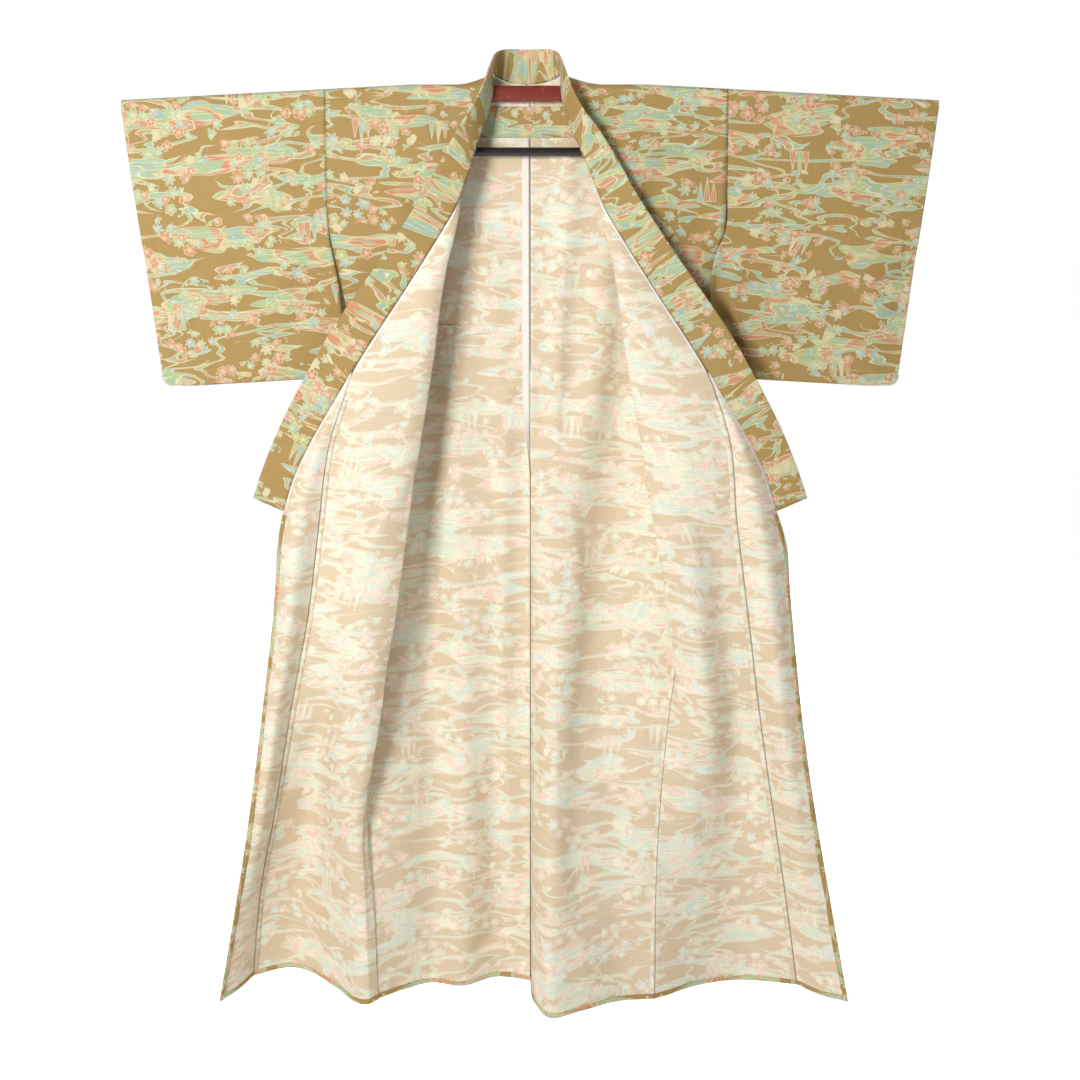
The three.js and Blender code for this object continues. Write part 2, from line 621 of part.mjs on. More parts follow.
function patchGrid() {
  const step = PATCH.half / 7;
  const half = (side, depth) =>
    [1, 2, 3, 4, 5, 6, 7].map((k) => onBack(side, depth, k * step, LAID_ON));
  return PATCH.depths.map((depth) => {
    const [right, left] = [half(RIGHT, depth), half(LEFT, depth)];
    const middle = right[0].clone().add(left[0]).multiplyScalar(0.5);
    return [...right.reverse(), middle, ...left];
  });
}

function tuckGrid(side) {
  return TUCK.depths.map((depth, i) =>
    Array.from({ length: 15 }, (_, j) => {
      const p = onBack(side, depth, lerp(TUCK.from, TUCK.to, j / 14), TUCKED);
      const loose = (i / (TUCK.depths.length - 1)) ** 2;
      p.y -= TUCK.bow * loose * (1 + Math.sin(j * 1.7));
      p.z -= 3 * loose * Math.sin(j * 0.9);
      return p;
    }),
  );
}

// ---- the hanger ----
function solid(geometry) {
  const bare = geometry.clone();
  bare.deleteAttribute("normal");
  bare.deleteAttribute("uv");
  const merged = mergeVertices(bare);
  return new wasm.Manifold(
    new wasm.Mesh({
      numProp: 3,
      vertProperties: merged.attributes.position.array,
      triVerts: new Uint32Array(merged.index.array),
    }),
  );
}

function geometryOf(made) {
  const { vertProperties, triVerts } = made.getMesh();
  return new THREE.BufferGeometry()
    .setAttribute("position", new THREE.BufferAttribute(vertProperties, 3))
    .setIndex(new THREE.BufferAttribute(triVerts, 1));
}

// The bar's outline from the front, level in the middle with both arms drooping, given its thickness.
function hangerBar() {
  const top = (x) => topZ(x) - RIDE - BAR.bevel;
  const places = [-1, -0.75, -0.5, -0.3125, 0.3125, 0.5, 0.75, 1].map((k) => k * (BAR.half - BAR.bevel));
  const shape = new THREE.Shape();
  shape.moveTo(places[0], top(places[0]));
  places.slice(1).forEach((x) => shape.lineTo(x, top(x)));
  [...places].reverse().forEach((x) => shape.lineTo(x, top(x) - BAR.tall + 2 * BAR.bevel));
  const geometry = new THREE.ExtrudeGeometry(shape, {
    depth: BAR.thick - 2 * BAR.bevel,
    bevelEnabled: true,
    bevelThickness: BAR.bevel,
    bevelSize: BAR.bevel,
    bevelSegments: 3,
  });
  return geometry.translate(0, 0, -(BAR.thick - 2 * BAR.bevel) / 2).rotateX(Math.PI / 2);
}

// The lower bar with the two hooks' shanks that it hangs by.
function obiBar() {
  const middle = OBI_BAR.top - OBI_BAR.radius;
  const bar = new THREE.CylinderGeometry(OBI_BAR.radius, OBI_BAR.radius, 2 * OBI_BAR.half, 24)
    .rotateZ(Math.PI / 2)
    .translate(0, 0, middle);
  let made = solid(bar);
  const high = -BAR.tall - SEAM_GAP;
  for (const x of [-OBI_BAR.link, OBI_BAR.link]) {
    const shank = new THREE.CylinderGeometry(OBI_BAR.linkRadius, OBI_BAR.linkRadius, high - middle, 12)
      .rotateX(Math.PI / 2)
      .translate(x, 0, (high + middle) / 2);
    made = made.add(solid(shank));
  }
  return geometryOf(made);
}

// ---- materials ----
const finish = (color, roughness) => new THREE.MeshStandardMaterial({ color, roughness, metalness: 0 });
const PRINTED_CREPE = finish(0xb7995f, 0.85);
const WHITE_TAPE = finish(0xefe9ee, 0.8);
const RED_LACQUER = finish(0x7d2a1e, 0.45);
const BLACK_LACQUER = finish(0x1b1718, 0.4);

const kimono = new THREE.Group();
function place(name, geometry, material) {
  const mesh = new THREE.Mesh(geometry, material);
  mesh.name = name;
  kimono.add(mesh);
}

const SIDES = [["right", RIGHT], ["left", LEFT]];
for (const [word, side] of SIDES) {
  place(`body_${word}`, wall(grids[side].body.rows, WALL), PRINTED_CREPE);
  place(`front_band_${word}`, wall(grids[side].band, WALL), PRINTED_CREPE);
  place(`sleeve_${word}`, wall(sleeveGrid(side), WALL, true), PRINTED_CREPE);
  place(`waist_tuck_${word}`, wall(tuckGrid(side), SMALL_WALL), PRINTED_CREPE);
}
const collarGrid = [...[...collarHalves[RIGHT]].reverse(), ...collarHalves[LEFT].slice(1)];
place("collar", wall(collarGrid, COLLAR_WALL), PRINTED_CREPE);
place("shoulder_patch", wall(patchGrid(), SMALL_WALL), PRINTED_CREPE);
place("back_seam_tape", wall(tapeGrid(), SMALL_WALL), WHITE_TAPE);
place("hanger_bar", hangerBar(), RED_LACQUER);
place("obi_bar", obiBar(), BLACK_LACQUER);

export default kimono;
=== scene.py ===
"""A woman's unlined kimono, hung wide open on a straight hanger with both front edges turned back.

Run as a script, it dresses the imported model: each cloth panel becomes a thin sheet of printed crepe on the
drape of its solid, with its creases, rolled edges, stitches and tape, and the hanger gets its lacquer.
The drape's tables are in millimetres, as a tailor measures, and every mesh is in metres.
The front of the garment faces -Y and the wearer's right side is at -X.
"""

import math
from functools import cache, reduce
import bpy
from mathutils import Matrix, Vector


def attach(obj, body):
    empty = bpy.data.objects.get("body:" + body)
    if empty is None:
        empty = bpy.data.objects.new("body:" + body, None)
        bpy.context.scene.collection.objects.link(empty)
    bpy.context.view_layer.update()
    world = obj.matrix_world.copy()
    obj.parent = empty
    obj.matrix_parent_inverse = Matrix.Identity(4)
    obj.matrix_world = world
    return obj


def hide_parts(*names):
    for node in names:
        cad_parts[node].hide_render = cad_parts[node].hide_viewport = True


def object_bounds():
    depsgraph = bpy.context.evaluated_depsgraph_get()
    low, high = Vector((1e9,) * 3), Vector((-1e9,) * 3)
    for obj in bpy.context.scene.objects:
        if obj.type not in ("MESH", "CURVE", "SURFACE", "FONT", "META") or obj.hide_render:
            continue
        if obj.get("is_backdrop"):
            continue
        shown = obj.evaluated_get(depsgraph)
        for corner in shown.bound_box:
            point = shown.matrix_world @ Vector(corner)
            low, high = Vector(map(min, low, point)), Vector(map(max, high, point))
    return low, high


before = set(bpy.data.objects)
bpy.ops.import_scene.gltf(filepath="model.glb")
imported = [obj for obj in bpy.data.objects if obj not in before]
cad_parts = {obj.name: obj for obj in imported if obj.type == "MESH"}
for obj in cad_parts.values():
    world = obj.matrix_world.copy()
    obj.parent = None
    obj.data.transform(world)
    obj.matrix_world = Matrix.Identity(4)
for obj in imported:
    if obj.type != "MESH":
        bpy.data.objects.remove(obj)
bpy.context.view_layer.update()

from types import SimpleNamespace

import bmesh
import bpy
import numpy as np
from bpy.props import FloatProperty, FloatVectorProperty, PointerProperty
from mathutils import Matrix, Vector

bl_info = {
    "name": "Hung kimono",
    "version": (1, 0, 0),
    "blender": (4, 5, 0),
    "location": "View3D > Sidebar > Kimono",
    "description": "Dresses the kimono on its bar hanger: printed crepe, seams, rolled edges, tape and lacquer",
    "category": "Object",
}

# ---- the garment's sizes, in millimetres ----
MM = 0.001
WALL = 1.5  # the solids' cloth walls
SEAM_GAP = 0.1  # between two sheets that are sewn together
COLLAR_GAP = 0.4  # between a sheet and the folded collar
FOLDED_APART = 0.3  # each way, more where two sheets lie side by side at their seam
GARMENT_LENGTH = 1641  # shoulder to hem
ARM_END = 690  # centre back to the cuff, at the top fold
ARMHOLE = 240  # depth over which sleeve and body are joined
SIDE_OPEN_END = 400  # the side seam starts this far below the shoulder
SIDE_MET = 450  # from this depth on, front and back share their edge
BAND_TOP = 478  # depth of the front band's upper point
NECK_SHIFT = -5  # the neck hangs this far off the middle of the bar
NECK_REACH = 125  # the collar lifts the shoulders up to this far from the middle
RIGHT, LEFT = -1, 1  # the wearer's sides, as the sign of x
SIDES = {"right": RIGHT, "left": LEFT}

BAR_HALF_THICK = 9
BAR_FLAT = 200  # the bar is level this far to each side
BAR_DROOP = 0.052  # and falls this much for each millimetre beyond
RIDE = WALL / 2 + 0.6  # the cloth's middle lies this far above the bar
WRAP = BAR_HALF_THICK + RIDE + 1.4  # radius of the cloth's bend over the bar
SQUARENESS = 0.65  # of that bend: 1 is round
EDGE_TOP = 12  # depth at which the side and sleeve edges begin, at the foot of that bend


# ---- small maths ----
def ease(t):
    t = np.clip(t, 0, 1)
    return t * t * (3 - 2 * t)


def lerp(a, b, t):
    return a + (b - a) * t


def unit(vectors):
    return vectors / np.maximum(np.linalg.norm(vectors, axis=-1, keepdims=True), 1e-9)


def running(points, axis=0):
    """Distance along lines of points from their first one."""
    steps = np.linalg.norm(np.diff(points, axis=axis), axis=-1)
    start = np.zeros_like(np.take(steps, [0], axis=axis))
    return np.concatenate([start, np.cumsum(steps, axis=axis)], axis=axis)


def smooth(places, values, at):
    """Soft curve through the rows of values at the rising places, read at one or more places."""
    places, values, at = np.asarray(places, float), np.asarray(values, float), np.atleast_1d(at)
    gap = np.diff(places)
    slope = np.diff(values, axis=0) / gap[:, None]
    tangent = np.concatenate([slope[:1], slope[:-1], slope[-1:]])
    before, after = gap[:-1, None], gap[1:, None]
    tangent[1:-1] = (slope[:-1] * after + slope[1:] * before) / (before + after)
    i = np.clip(np.searchsorted(places[1:], at), 0, len(gap) - 1)
    h = gap[i][:, None]
    t = np.clip((at - places[i])[:, None] / h, 0, 1)
    return (
        (2 * t**3 - 3 * t**2 + 1) * values[i]
        + (t**3 - 2 * t**2 + t) * h * tangent[i]
        + (3 * t**2 - 2 * t**3) * values[i + 1]
        + (t**3 - t**2) * h * tangent[i + 1]
    )


def numbers(text):
    """The rows of numbers in a text."""
    return np.array([line.split() for line in text.splitlines() if line.strip()], float)


def table(text):
    """Rows whose first value rises, under the names of their columns; the result reads one row between them."""
    names, text = text.strip().split("\n", 1)
    rows = numbers(text)

    def read(place):
        values = smooth(rows[:, 0], rows, place).T
        return SimpleNamespace(**{n: v if np.ndim(place) else v[0] for n, v in zip(names.split(), values)})

    return read


def by_side(shared, right, left):
    """A table for each side, from the lines that they share and each side's own."""
    return {RIGHT: table(shared + right), LEFT: table(shared + left)}


def along(controls, stations):
    """Points of a soft curve through the controls; station 2.5 is halfway from control 2 to control 3."""
    controls = np.array(controls, float)
    chord = running(controls)
    return smooth(chord, controls, np.interp(stations, np.arange(len(controls)), chord))


def measured(points, places):
    """The distances across and down a grid of points whose rows lie at the given places."""
    across = running(points, axis=1)
    return across, np.broadcast_to(places[:, None], across.shape)


def finer(rows, longest):
    """The drape through the rows with more rows, none further apart than longest, and where they lie."""
    rows = np.array(rows)
    steps = np.linalg.norm(np.diff(rows, axis=0), axis=2).mean(axis=1)
    chord = np.concatenate([[0], np.cumsum(steps)])
    counts = np.ceil(steps / longest).astype(int)
    places = [np.linspace(a, b, n, endpoint=False) for a, b, n in zip(chord, chord[1:], counts)]
    places = np.concatenate([*places, chord[-1:]])
    fine = smooth(chord, rows.reshape(len(rows), -1), places).reshape(-1, *rows.shape[1:])
    return fine, places, chord


# ---- the drape, as tables; depth is the distance below the shoulder, x is measured out from the middle ----

# The collar's two long edges, from the middle of the back neck (step 0) to the tip (step 13).
COLLAR = table("""
    step seamX seamY seamZ freeX freeY freeZ
    0 0 18 2 0 30 60
    1 30 18 5 25 27 61
    2 49 14 12 42.5 14 59
    3 58.5 0 18 54 -18 49
    4 57 -14.5 -4 62 -40 29
    5 61.5 -19 -33 71 -54 4
    6 70.5 -26 -62 85 -60 -27
    7 84 -38 -96 106 -62 -56
    8 98.5 -47 -134 137 -62 -104
    9 124.5 -55 -200 176 -64 -174
    10 199 -66 -320 252 -70 -288
    11 285.5 -76 -450 342 -78 -416
    12 377.5 -74 -600 428.5 -74 -572
    12.5 405 -72 -655 455 -72 -632
    13 426 -70 -718 478 -70 -695
""")
COLLAR_TIP = 13
TIP_DEPTH = 718
SHIFT_FADE = (6, 9)  # the neck's shift fades out between these collar steps

# The back from the centre seam (at x = 0) out to the side edge, in soft upright folds.
BACK = by_side(
    """
    depth seamY x1 y1 x2 y2 x3 y3 x4 y4 sideX sideY
    0 14 70 13 140 12.5 210 12 275 12 340 11.6
    40 15 70 14 140 14 210 13 275 13 338.5 12.3
    240 26 70 27 140 20 205 25 268 18 331 16
    350 29 66 35 132 20 196 28 256 14 315 8
    450 30 64 39 128 21 190 30 250 11 311 0
    """,
    """
    720 34 62 46 124 21 185 34 246 8 311 -2
    1000 36 62 50 122 19 180 34 243 7 309 -7
    1300 36 62 52 120 17 176 32 236 2 297 -20
    1641 36 64 54 130 16 185 32 240 2 284 -28
    """,
    """
    720 32 22 26 62 8 130 20 215 8 300 -2
    1000 34 12 8 46 -22 112 -2 190 8 262 -10
    1300 34 9 -18 38 -50 92 -34 160 -8 234 -14
    1641 34 9 -42 33 -78 90 -62 160 -26 229 -20
    """,
)

# The front from the side edge: it runs in to the roll, turns there through the two given bearings, and runs out
# over itself to the front band's seam. Bearings are from the roll to the cloth before and after it: 0 is outward.
FRONT = by_side(
    """
    depth sideX sideY underX underY rollX rollY rollR bearing leaving overX overY farX farY
    12 340 -11.6 300 -11.6 200 -11.8 34 0 -180 130 -12 94 -12
    40 338.5 -12.3 290 -12.5 170 -14 28 0 -180 110 -16 86 -17
    110 336 -13.5 262 -17 126 -30 8 0 -180 108 -33 99 -35
    160 334 -14.6 245 -20 121 -40 3 0 -160 116 -42.5 111.5 -45.5
    200 332.5 -15.2 240 -22 118 -46 3.5 45 -60 121 -50.5 122.5 -53
    260 329 -16 236 -26 130 -56 6 45 -45 142 -62 151 -62.5
    320 320 -13 234 -30 144 -61 10 45 -45 163 -72 181 -70
    450 311 0 234 -26 163 -63 13 45 -45 204 -80 248 -81
    """,
    """
    600 311 0 250 -22 188 -62 13 45 -45 245 -84 296 -86
    720 311 -2 256 -24 208 -64 13 45 -45 262 -88 315 -82
    900 311 -5 268 -28 234 -68 13 45 -45 288 -93 342 -74
    1100 306 -10 283 -34 266 -70 12 50 -45 316 -84 382 -24
    1300 296 -22 296 -34 302 -48 8 110 -34 342 -34 412 38
    1450 287 -28 291 -33 301 -43 7 135 8 350 -6 428 60
    1641 282 -30 287 -35 297 -44 7 140 5 365 15 455 80
    """,
    """
    600 308 0 252 -20 191 -60 13 45 -45 245 -84 296 -86
    720 300 -2 254 -20 211 -62 13 45 -45 262 -87 314 -80
    900 281 -6 262 -26 240 -60 11 50 -45 288 -84 342 -56
    1000 263 -12 259 -24 257 -42 8 85 -45 300 -74 358 -38
    1100 249 -18 254 -26 263 -37 7 130 -40 316 -62 372 -22
    1300 234 -20 241 -20 253 -20 7 180 0 300 -18 380 18
    1450 229 -20 236 -18 248 -14 7 198 18 298 4 382 38
    1641 229 -20 236 -17 248 -11 7 206 27 300 20 385 50
    """,
)

# The front band: its seam to the front, its free edge below the collar, and how far its middle bows forward.
BAND = by_side(
    "depth seamX seamY edgeX edgeY bow",
    """
    478 302 -77 306 -76 0
    530 320 -79 333 -76 2
    600 343 -80 378 -74 9
    720 362 -72 426 -70 20
    900 388 -58 449 -62 26
    1100 431 -30 478 -52 26
    1300 469 0 509 -42 22
    1450 501 28 536 -34 18
    1641 525 55 575 -26 12
    """,
    """
    478 302 -77 306 -76 0
    530 322 -79 335 -76 2
    600 343 -80 378 -74 9
    720 355.5 -72 431 -70 20
    900 381.5 -56 457 -62 26
    1100 411 -28 483 -52 26
    1300 444 -8 517 -42 22
    1450 470 12 547 -34 18
    1641 500 35 586 -26 12
    """,
)

# The body's side edge from the shoulder to the side seam; it is the armhole down to its foot.
SIDE_EDGE = by_side(
    "depth x frontY backY",
    """
    12 345 -11.8 11.8
    150 346 -14.4 14
    240 343 -15.6 16
    330 325 -14 11
    385 315 -10 5
    450 311 0 0
    """,
    """
    12 334 -11.8 11.8
    150 335 -14.4 14
    240 332 -15.6 16
    275 328 -9 15
    385 314 -4 5
    450 311 0 0
    """,
)

# The sleeve's inner edge: it follows the armhole, then hangs free with its front and back apart.
SLEEVE_EDGE = by_side(
    "depth frontX backX frontY backY",
    """
    12 345 345 -11.8 11.8
    150 346 346 -14.4 14
    240 343 343 -15.6 16
    330 328.5 325 -14 16
    380 324 316 -12 14
    492 318 312 -9 8
    """,
    """
    12 334 334 -11.8 11.8
    150 335 335 -14.4 14
    240 331.5 332 -15.6 16
    275 318 327 -17 18
    365 307 318 -18 16
    492 312 312 -14 8
    """,
)

# How far each stretch of the hem hangs below (+) or above (-) its level, by distance from the middle.
HEM_SAG = by_side(
    "x sag",
    """
    0 -8
    130 -6
    284 0
    303 3
    410 -12
    470 -14
    525 -8
    575 6
    """,
    """
    0 -8
    9 4
    33 13
    90 8
    229 3
    300 -2
    385 -2
    500 0
    586 6
    """,
)
HEM_SAG_REACH = 500  # the sag fades out this far above the hem

DEPTHS = [
    40, 75, 110, 150, 200, 240, 268, 310, 360, 410, 450, 478, 530, 600, 660, 718, 780, 850, 920, 1000, 1080,
    1160, 1240, 1320, 1400, 1480, 1560, GARMENT_LENGTH,
]
YOKE_DEPTH = 28  # one more row on the back, below the bar
SHOULDER_ROWS = [(0, 0), (28, 1), (55, 2), (90, 3), (125, 3.55), (152, 4.05), (180, 4.5)]  # angle, collar step
FRONT_COUNTS = [8, 12, 8, 10, 10, 10, 10]  # columns between the front's control points
COLUMNS = sum(FRONT_COUNTS)
FRONT_STATIONS = np.append(np.concatenate([i + np.arange(n) / n for i, n in enumerate(FRONT_COUNTS)]), 7)
BAND_COUNT = 24  # columns across the front band

FOOT = SimpleNamespace(inner=-492, outer=-512, round=17, fold=4)  # the sleeve's bottom edge
CUFF_OPEN = 0.47  # share of the cuff's height that stays open for the hand
CUFF_LEAN = 49  # the cuff's foot lies this much nearer the middle than its top
# How the sleeve's two layers stand apart: a bulge under the bar, a soft puff in the middle and almost none where
# the cuff is sewn shut; and how the whole sleeve sways to the back at the cuff and to the front at the body.
SLEEVE = SimpleNamespace(bulge=2, puff=5, shut=0.45, least_turn=1.7, cuff_sway=5, body_sway=6, free_from=0.3)


def armhole_x(side):
    """How far out the armhole's top lies."""
    return SIDE_EDGE[side](EDGE_TOP).x


# ---- the drape, as points in millimetres ----
def top_z(x):
    """Height of the cloth along the top of the bar."""
    return RIDE - BAR_DROOP * np.maximum(0, np.abs(x) - BAR_FLAT)


def side_of(side, depth, row, layer):
    """The body's side edge at a depth; where front and back have met it is the row's own."""
    if depth >= SIDE_MET:
        return row.sideX, row.sideY
    edge = SIDE_EDGE[side](max(EDGE_TOP, depth))
    return edge.x, edge.frontY if layer < 0 else edge.backY


def sagged(side, points):
    """Points near the hem, let down by the hem's sag."""
    share = ease(1 - (GARMENT_LENGTH + points[:, 2]) / HEM_SAG_REACH)
    points[:, 2] -= HEM_SAG[side](np.abs(points[:, 0])).sag * share
    return points


def collar_rung(side, step):
    """The collar's seam and free edge at a step."""
    c = COLLAR(step)
    shift = NECK_SHIFT * ease((SHIFT_FADE[1] - step) / (SHIFT_FADE[1] - SHIFT_FADE[0]))
    seam, free = (c.seamX, c.seamY, c.seamZ), (c.freeX, c.freeY, c.freeZ)
    return [np.array([side * x + shift, y, z]) for x, y, z in (seam, free)]


def collar_step_at(depth):
    """The collar step at which its seam reaches a depth below the shoulder."""
    steps = np.linspace(3, COLLAR_TIP, 2001)
    return float(np.interp(depth, -COLLAR(steps).seamZ, steps))


def level_points(side, depth, places):
    """Points at one depth from their distances out from the middle and their y."""
    return np.array([[side * x, y, -depth] for x, y in places], float)


def back_row(side, depth):
    """One row of the back, from the side edge in to the centre seam."""
    b = BACK[side](depth)
    places = [side_of(side, depth, b, 1), (b.x4, b.y4), (b.x3, b.y3), (b.x2, b.y2), (b.x1, b.y1), (0, b.seamY)]
    return along(sagged(side, level_points(side, depth, places)), np.linspace(0, 5, COLUMNS + 1))


def front_row(side, depth):
    """One row of the front, from the side edge to the collar seam or, lower down, the front band's seam."""
    f = FRONT[side](depth)
    band = BAND[side](depth)

    def turn(bearing):
        a = math.radians(bearing)
        return f.rollX + f.rollR * math.cos(a), f.rollY + f.rollR * math.sin(a)

    places = [
        side_of(side, depth, f, -1), (f.underX, f.underY), turn(f.bearing), (f.rollX, f.rollY),
        turn(f.leaving), (f.overX, f.overY), (f.farX, f.farY), (band.seamX, band.seamY),
    ]
    controls = level_points(side, depth, places)
    if depth < BAND_TOP:
        controls[-1] = collar_rung(side, collar_step_at(depth))[0]
    return sagged(side, along(controls, FRONT_STATIONS))


def over_bar(x, angle):
    """A point of the cloth's bend over the bar, at an angle from the back (0) to the front (180)."""

    def bend(k):
        return np.sign(k) * np.abs(k) ** SQUARENESS

    x, a = np.broadcast_arrays(x, np.radians(angle))
    return np.stack([x, WRAP * bend(np.cos(a)), top_z(x) - WRAP + WRAP * bend(np.sin(a))], axis=-1)


def shoulder_row(side, angle, step):
    """One row over the bar, reaching in to the collar seam."""
    inner = collar_rung(side, step)[0]
    lift = inner - over_bar(inner[0], angle)
    x = np.linspace(side * armhole_x(side), inner[0], COLUMNS + 1)
    near = np.clip((NECK_REACH - np.abs(x)) / (NECK_REACH - abs(inner[0])), 0, 1)
    return over_bar(x, angle) + lift * (near**2 * (1.6 - 0.6 * near))[:, None]


def band_row(side, depth):
    """One row of the front band, from its seam out to the collar or its free edge."""
    b = BAND[side](depth)
    seam = front_row(side, depth)[-1]
    if depth <= BAND_TOP:
        return np.linspace(seam, seam + [side * 3, 0, 0], BAND_COUNT + 1)
    if depth <= TIP_DEPTH:
        edge = collar_rung(side, collar_step_at(depth))[0]
    else:
        edge = sagged(side, level_points(side, depth, [(b.edgeX, b.edgeY)]))[0]
    middle = (seam + edge) / 2 - [0, b.bow, 0]
    return along([seam, middle, edge], np.linspace(0, 2, BAND_COUNT + 1))


def open_seam(rows_a, edge_a, rows_b, edge_b, gap=SEAM_GAP):
    """Draws two edges on a shared seam apart: end to end on flat cloth, side by side where it is folded.
    An edge is (its column, the column next to it)."""
    for a, b in zip(rows_a, rows_b):
        meet = (a[edge_a[0]] + b[edge_b[0]]) / 2
        across = unit(meet - a[edge_a[1]]) + unit(b[edge_b[1]] - meet)
        folded = math.sqrt(max(0, 1 - (np.linalg.norm(across) / 2) ** 2))
        apart = unit(across) * (gap / 2 + FOLDED_APART * folded)
        a[edge_a[0]], b[edge_b[0]] = meet - apart, meet + apart


FIRST, LAST = (0, 1), (-1, -2)


@cache
def drape():
    """The panels' rows and the collar's rungs for both sides, with every seam a hair open."""
    made = {}
    collar_steps = [step for _, step in SHOULDER_ROWS] + [collar_step_at(d) for d in DEPTHS if d <= TIP_DEPTH]
    over = len(SHOULDER_ROWS)
    above_band = sum(d < BAND_TOP for d in DEPTHS)
    below_opening = sum(d < SIDE_OPEN_END for d in DEPTHS)
    for side in (RIGHT, LEFT):
        back = [back_row(side, d) for d in reversed(DEPTHS)] + [back_row(side, YOKE_DEPTH)]
        top = [shoulder_row(side, angle, step) for angle, step in SHOULDER_ROWS]
        front = [front_row(side, d) for d in DEPTHS]
        band = [band_row(side, d) for d in DEPTHS if d >= BAND_TOP]
        rungs = [np.array(collar_rung(side, min(step, COLLAR_TIP))) for step in collar_steps]
        stand_in = [np.array([r[0], r[0] + unit(r[1] - r[0]) * 5]) for r in rungs]
        open_seam(top + front[:above_band], LAST, stand_in[: over + above_band], FIRST, COLLAR_GAP)
        open_seam(band, LAST, stand_in[over + above_band :], FIRST, COLLAR_GAP)
        open_seam(front[above_band:], LAST, band, FIRST)
        open_seam(back[:-1][::-1][below_opening:], FIRST, front[below_opening:], FIRST)
        for row in back + top + front:
            if row[0, 2] > -ARMHOLE - 1:
                row[0, 0] -= side * SEAM_GAP / 2
        for rung, drawn in zip(rungs, stand_in):
            rung[0] = drawn[0]
        made[side] = SimpleNamespace(back=back, top=top, front=front, band=band, rungs=rungs)
    open_seam(made[RIGHT].back, LAST, made[LEFT].back, LAST)
    return made


# ---- sheets of cloth ----
CREPE = "printed_crepe"
SILK = ("Ochre silk thread", "#bb9c62")
COTTON = ("White cotton thread", "#e9e2d4")
# Of the rolled hem and of a seam's allowance: the distance from the edge and the lift over the cloth.
ROLL = [(9.0, 0.6), (8.3, 1.15), (6.0, 1.6), (2.6, 1.5), (0.6, 1.1), (-0.4, 0.4), (-0.4, -0.4), (0.8, -0.62)]
ALLOWANCE = [(0.1, 0.32), (0.12, 0.66), (0.5, 0.85), (2.0, 0.75), (9.0, 0.62)]
ROLL_SEWN = (7.4, 1.85)  # where the hem's stitches lie, as above
ALLOWANCE_THIN = 0.8  # the allowance's thickness, as a share of the cloth's
STITCH = SimpleNamespace(long=3.0, wide=0.55, every=8.0, stray=0.9)
# Where each piece is cut from the printed cloth, so that no two show the same part of it.
CUT = SimpleNamespace(body=1000, band=2000, sleeve=3000, collar=5000, laid=6000, roll=8000, allowance=9000)
UNSEWN = 20  # the distance to a sewn edge, where there is none


def link(name, data):
    """A new object in the scene."""
    made = bpy.data.objects.new(name, data)
    bpy.context.scene.collection.objects.link(made)
    return made


def mesh_from(bm, name):
    mesh = bpy.data.meshes.new(name)
    bm.to_mesh(mesh)
    bm.free()
    return mesh


def seat(made, node=None):
    """The piece stands for its CAD node, or just rides on the garment where it has none."""
    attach(made, "root")
    if node:
        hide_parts(node)
    return made


def normals_of(points):
    """Unit normals of a grid of points, rows by columns."""
    return unit(np.cross(np.gradient(points, axis=0), np.gradient(points, axis=1)))


def creased(points, across, down, creases, strength):
    """The sheet with soft troughs and ridges: each runs between two places on the cloth, given across and down
    it, stands so high along the normal (below 0 it is a trough) and spreads so wide to each side."""
    moved = np.zeros(points.shape[:2])
    for across1, down1, across2, down2, height, spread in creases:
        run = np.array([across2 - across1, down2 - down1])
        long = math.hypot(*run)
        t = ((across - across1) * run[0] + (down - down1) * run[1]) / long**2
        off = ((across - across1) * run[1] - (down - down1) * run[0]) / long
        past = np.maximum(0, np.abs(t - 0.5) - 0.5) * long
        swell = np.clip(1.25 - 1.5 * np.abs(t - 0.5), 0, 1)
        moved += height * swell * np.exp(-((off / spread) ** 2) - (past / (spread * 1.6)) ** 2)
    return points + normals_of(points) * (moved * strength)[..., None]


def sheet(name, points, across, down, edge, flip, faces=None, node=None, closed=False, pale=0, thin=1):
    """A grid of points as a sheet of cloth, printed outside unless other faces are given. Its UV map holds metres
    across and down the cloth, its attribute edge the distance to the nearest sewn edge, and pale how strongly
    that edge is pressed."""
    rows, columns = points.shape[:2]
    bm = bmesh.new()
    bmesh.ops.create_grid(bm, x_segments=columns - 1, y_segments=rows - 1, size=1)
    if flip:
        bmesh.ops.reverse_faces(bm, faces=bm.faces)
    mesh = mesh_from(bm, name)
    mesh.vertices.foreach_set("co", (points * MM).astype(np.float32).ravel())
    corners = np.empty(len(mesh.loops), int)
    mesh.loops.foreach_get("vertex_index", corners)
    cloth = np.stack([across, down], axis=-1).reshape(-1, 2) * MM
    mesh.uv_layers.new(name="cloth").data.foreach_set("uv", cloth[corners].astype(np.float32).ravel())
    for key, values in (("edge", np.asarray(edge) * MM), ("pale", np.asarray(pale))):
        stored = mesh.attributes.new(key, "FLOAT", "POINT")
        stored.data.foreach_set("value", np.broadcast_to(values, (rows, columns)).astype(np.float32).ravel())
    if closed:
        bm = bmesh.new()
        bm.from_mesh(mesh)
        bmesh.ops.remove_doubles(bm, verts=bm.verts, dist=0.00001)
        bm.to_mesh(mesh)
        bm.free()
    faces = faces or [crepe(False), crepe(True)]
    for face in faces:
        mesh.materials.append(face)
    mesh.shade_smooth()
    made = link(name, mesh)
    body = made.modifiers.new("Thickness", "SOLIDIFY")
    body.thickness = bpy.context.scene.kimono_cloth.thickness * thin
    body.offset = 0
    body.material_offset = len(faces) - 1
    body.use_quality_normals = True
    return seat(made, node)


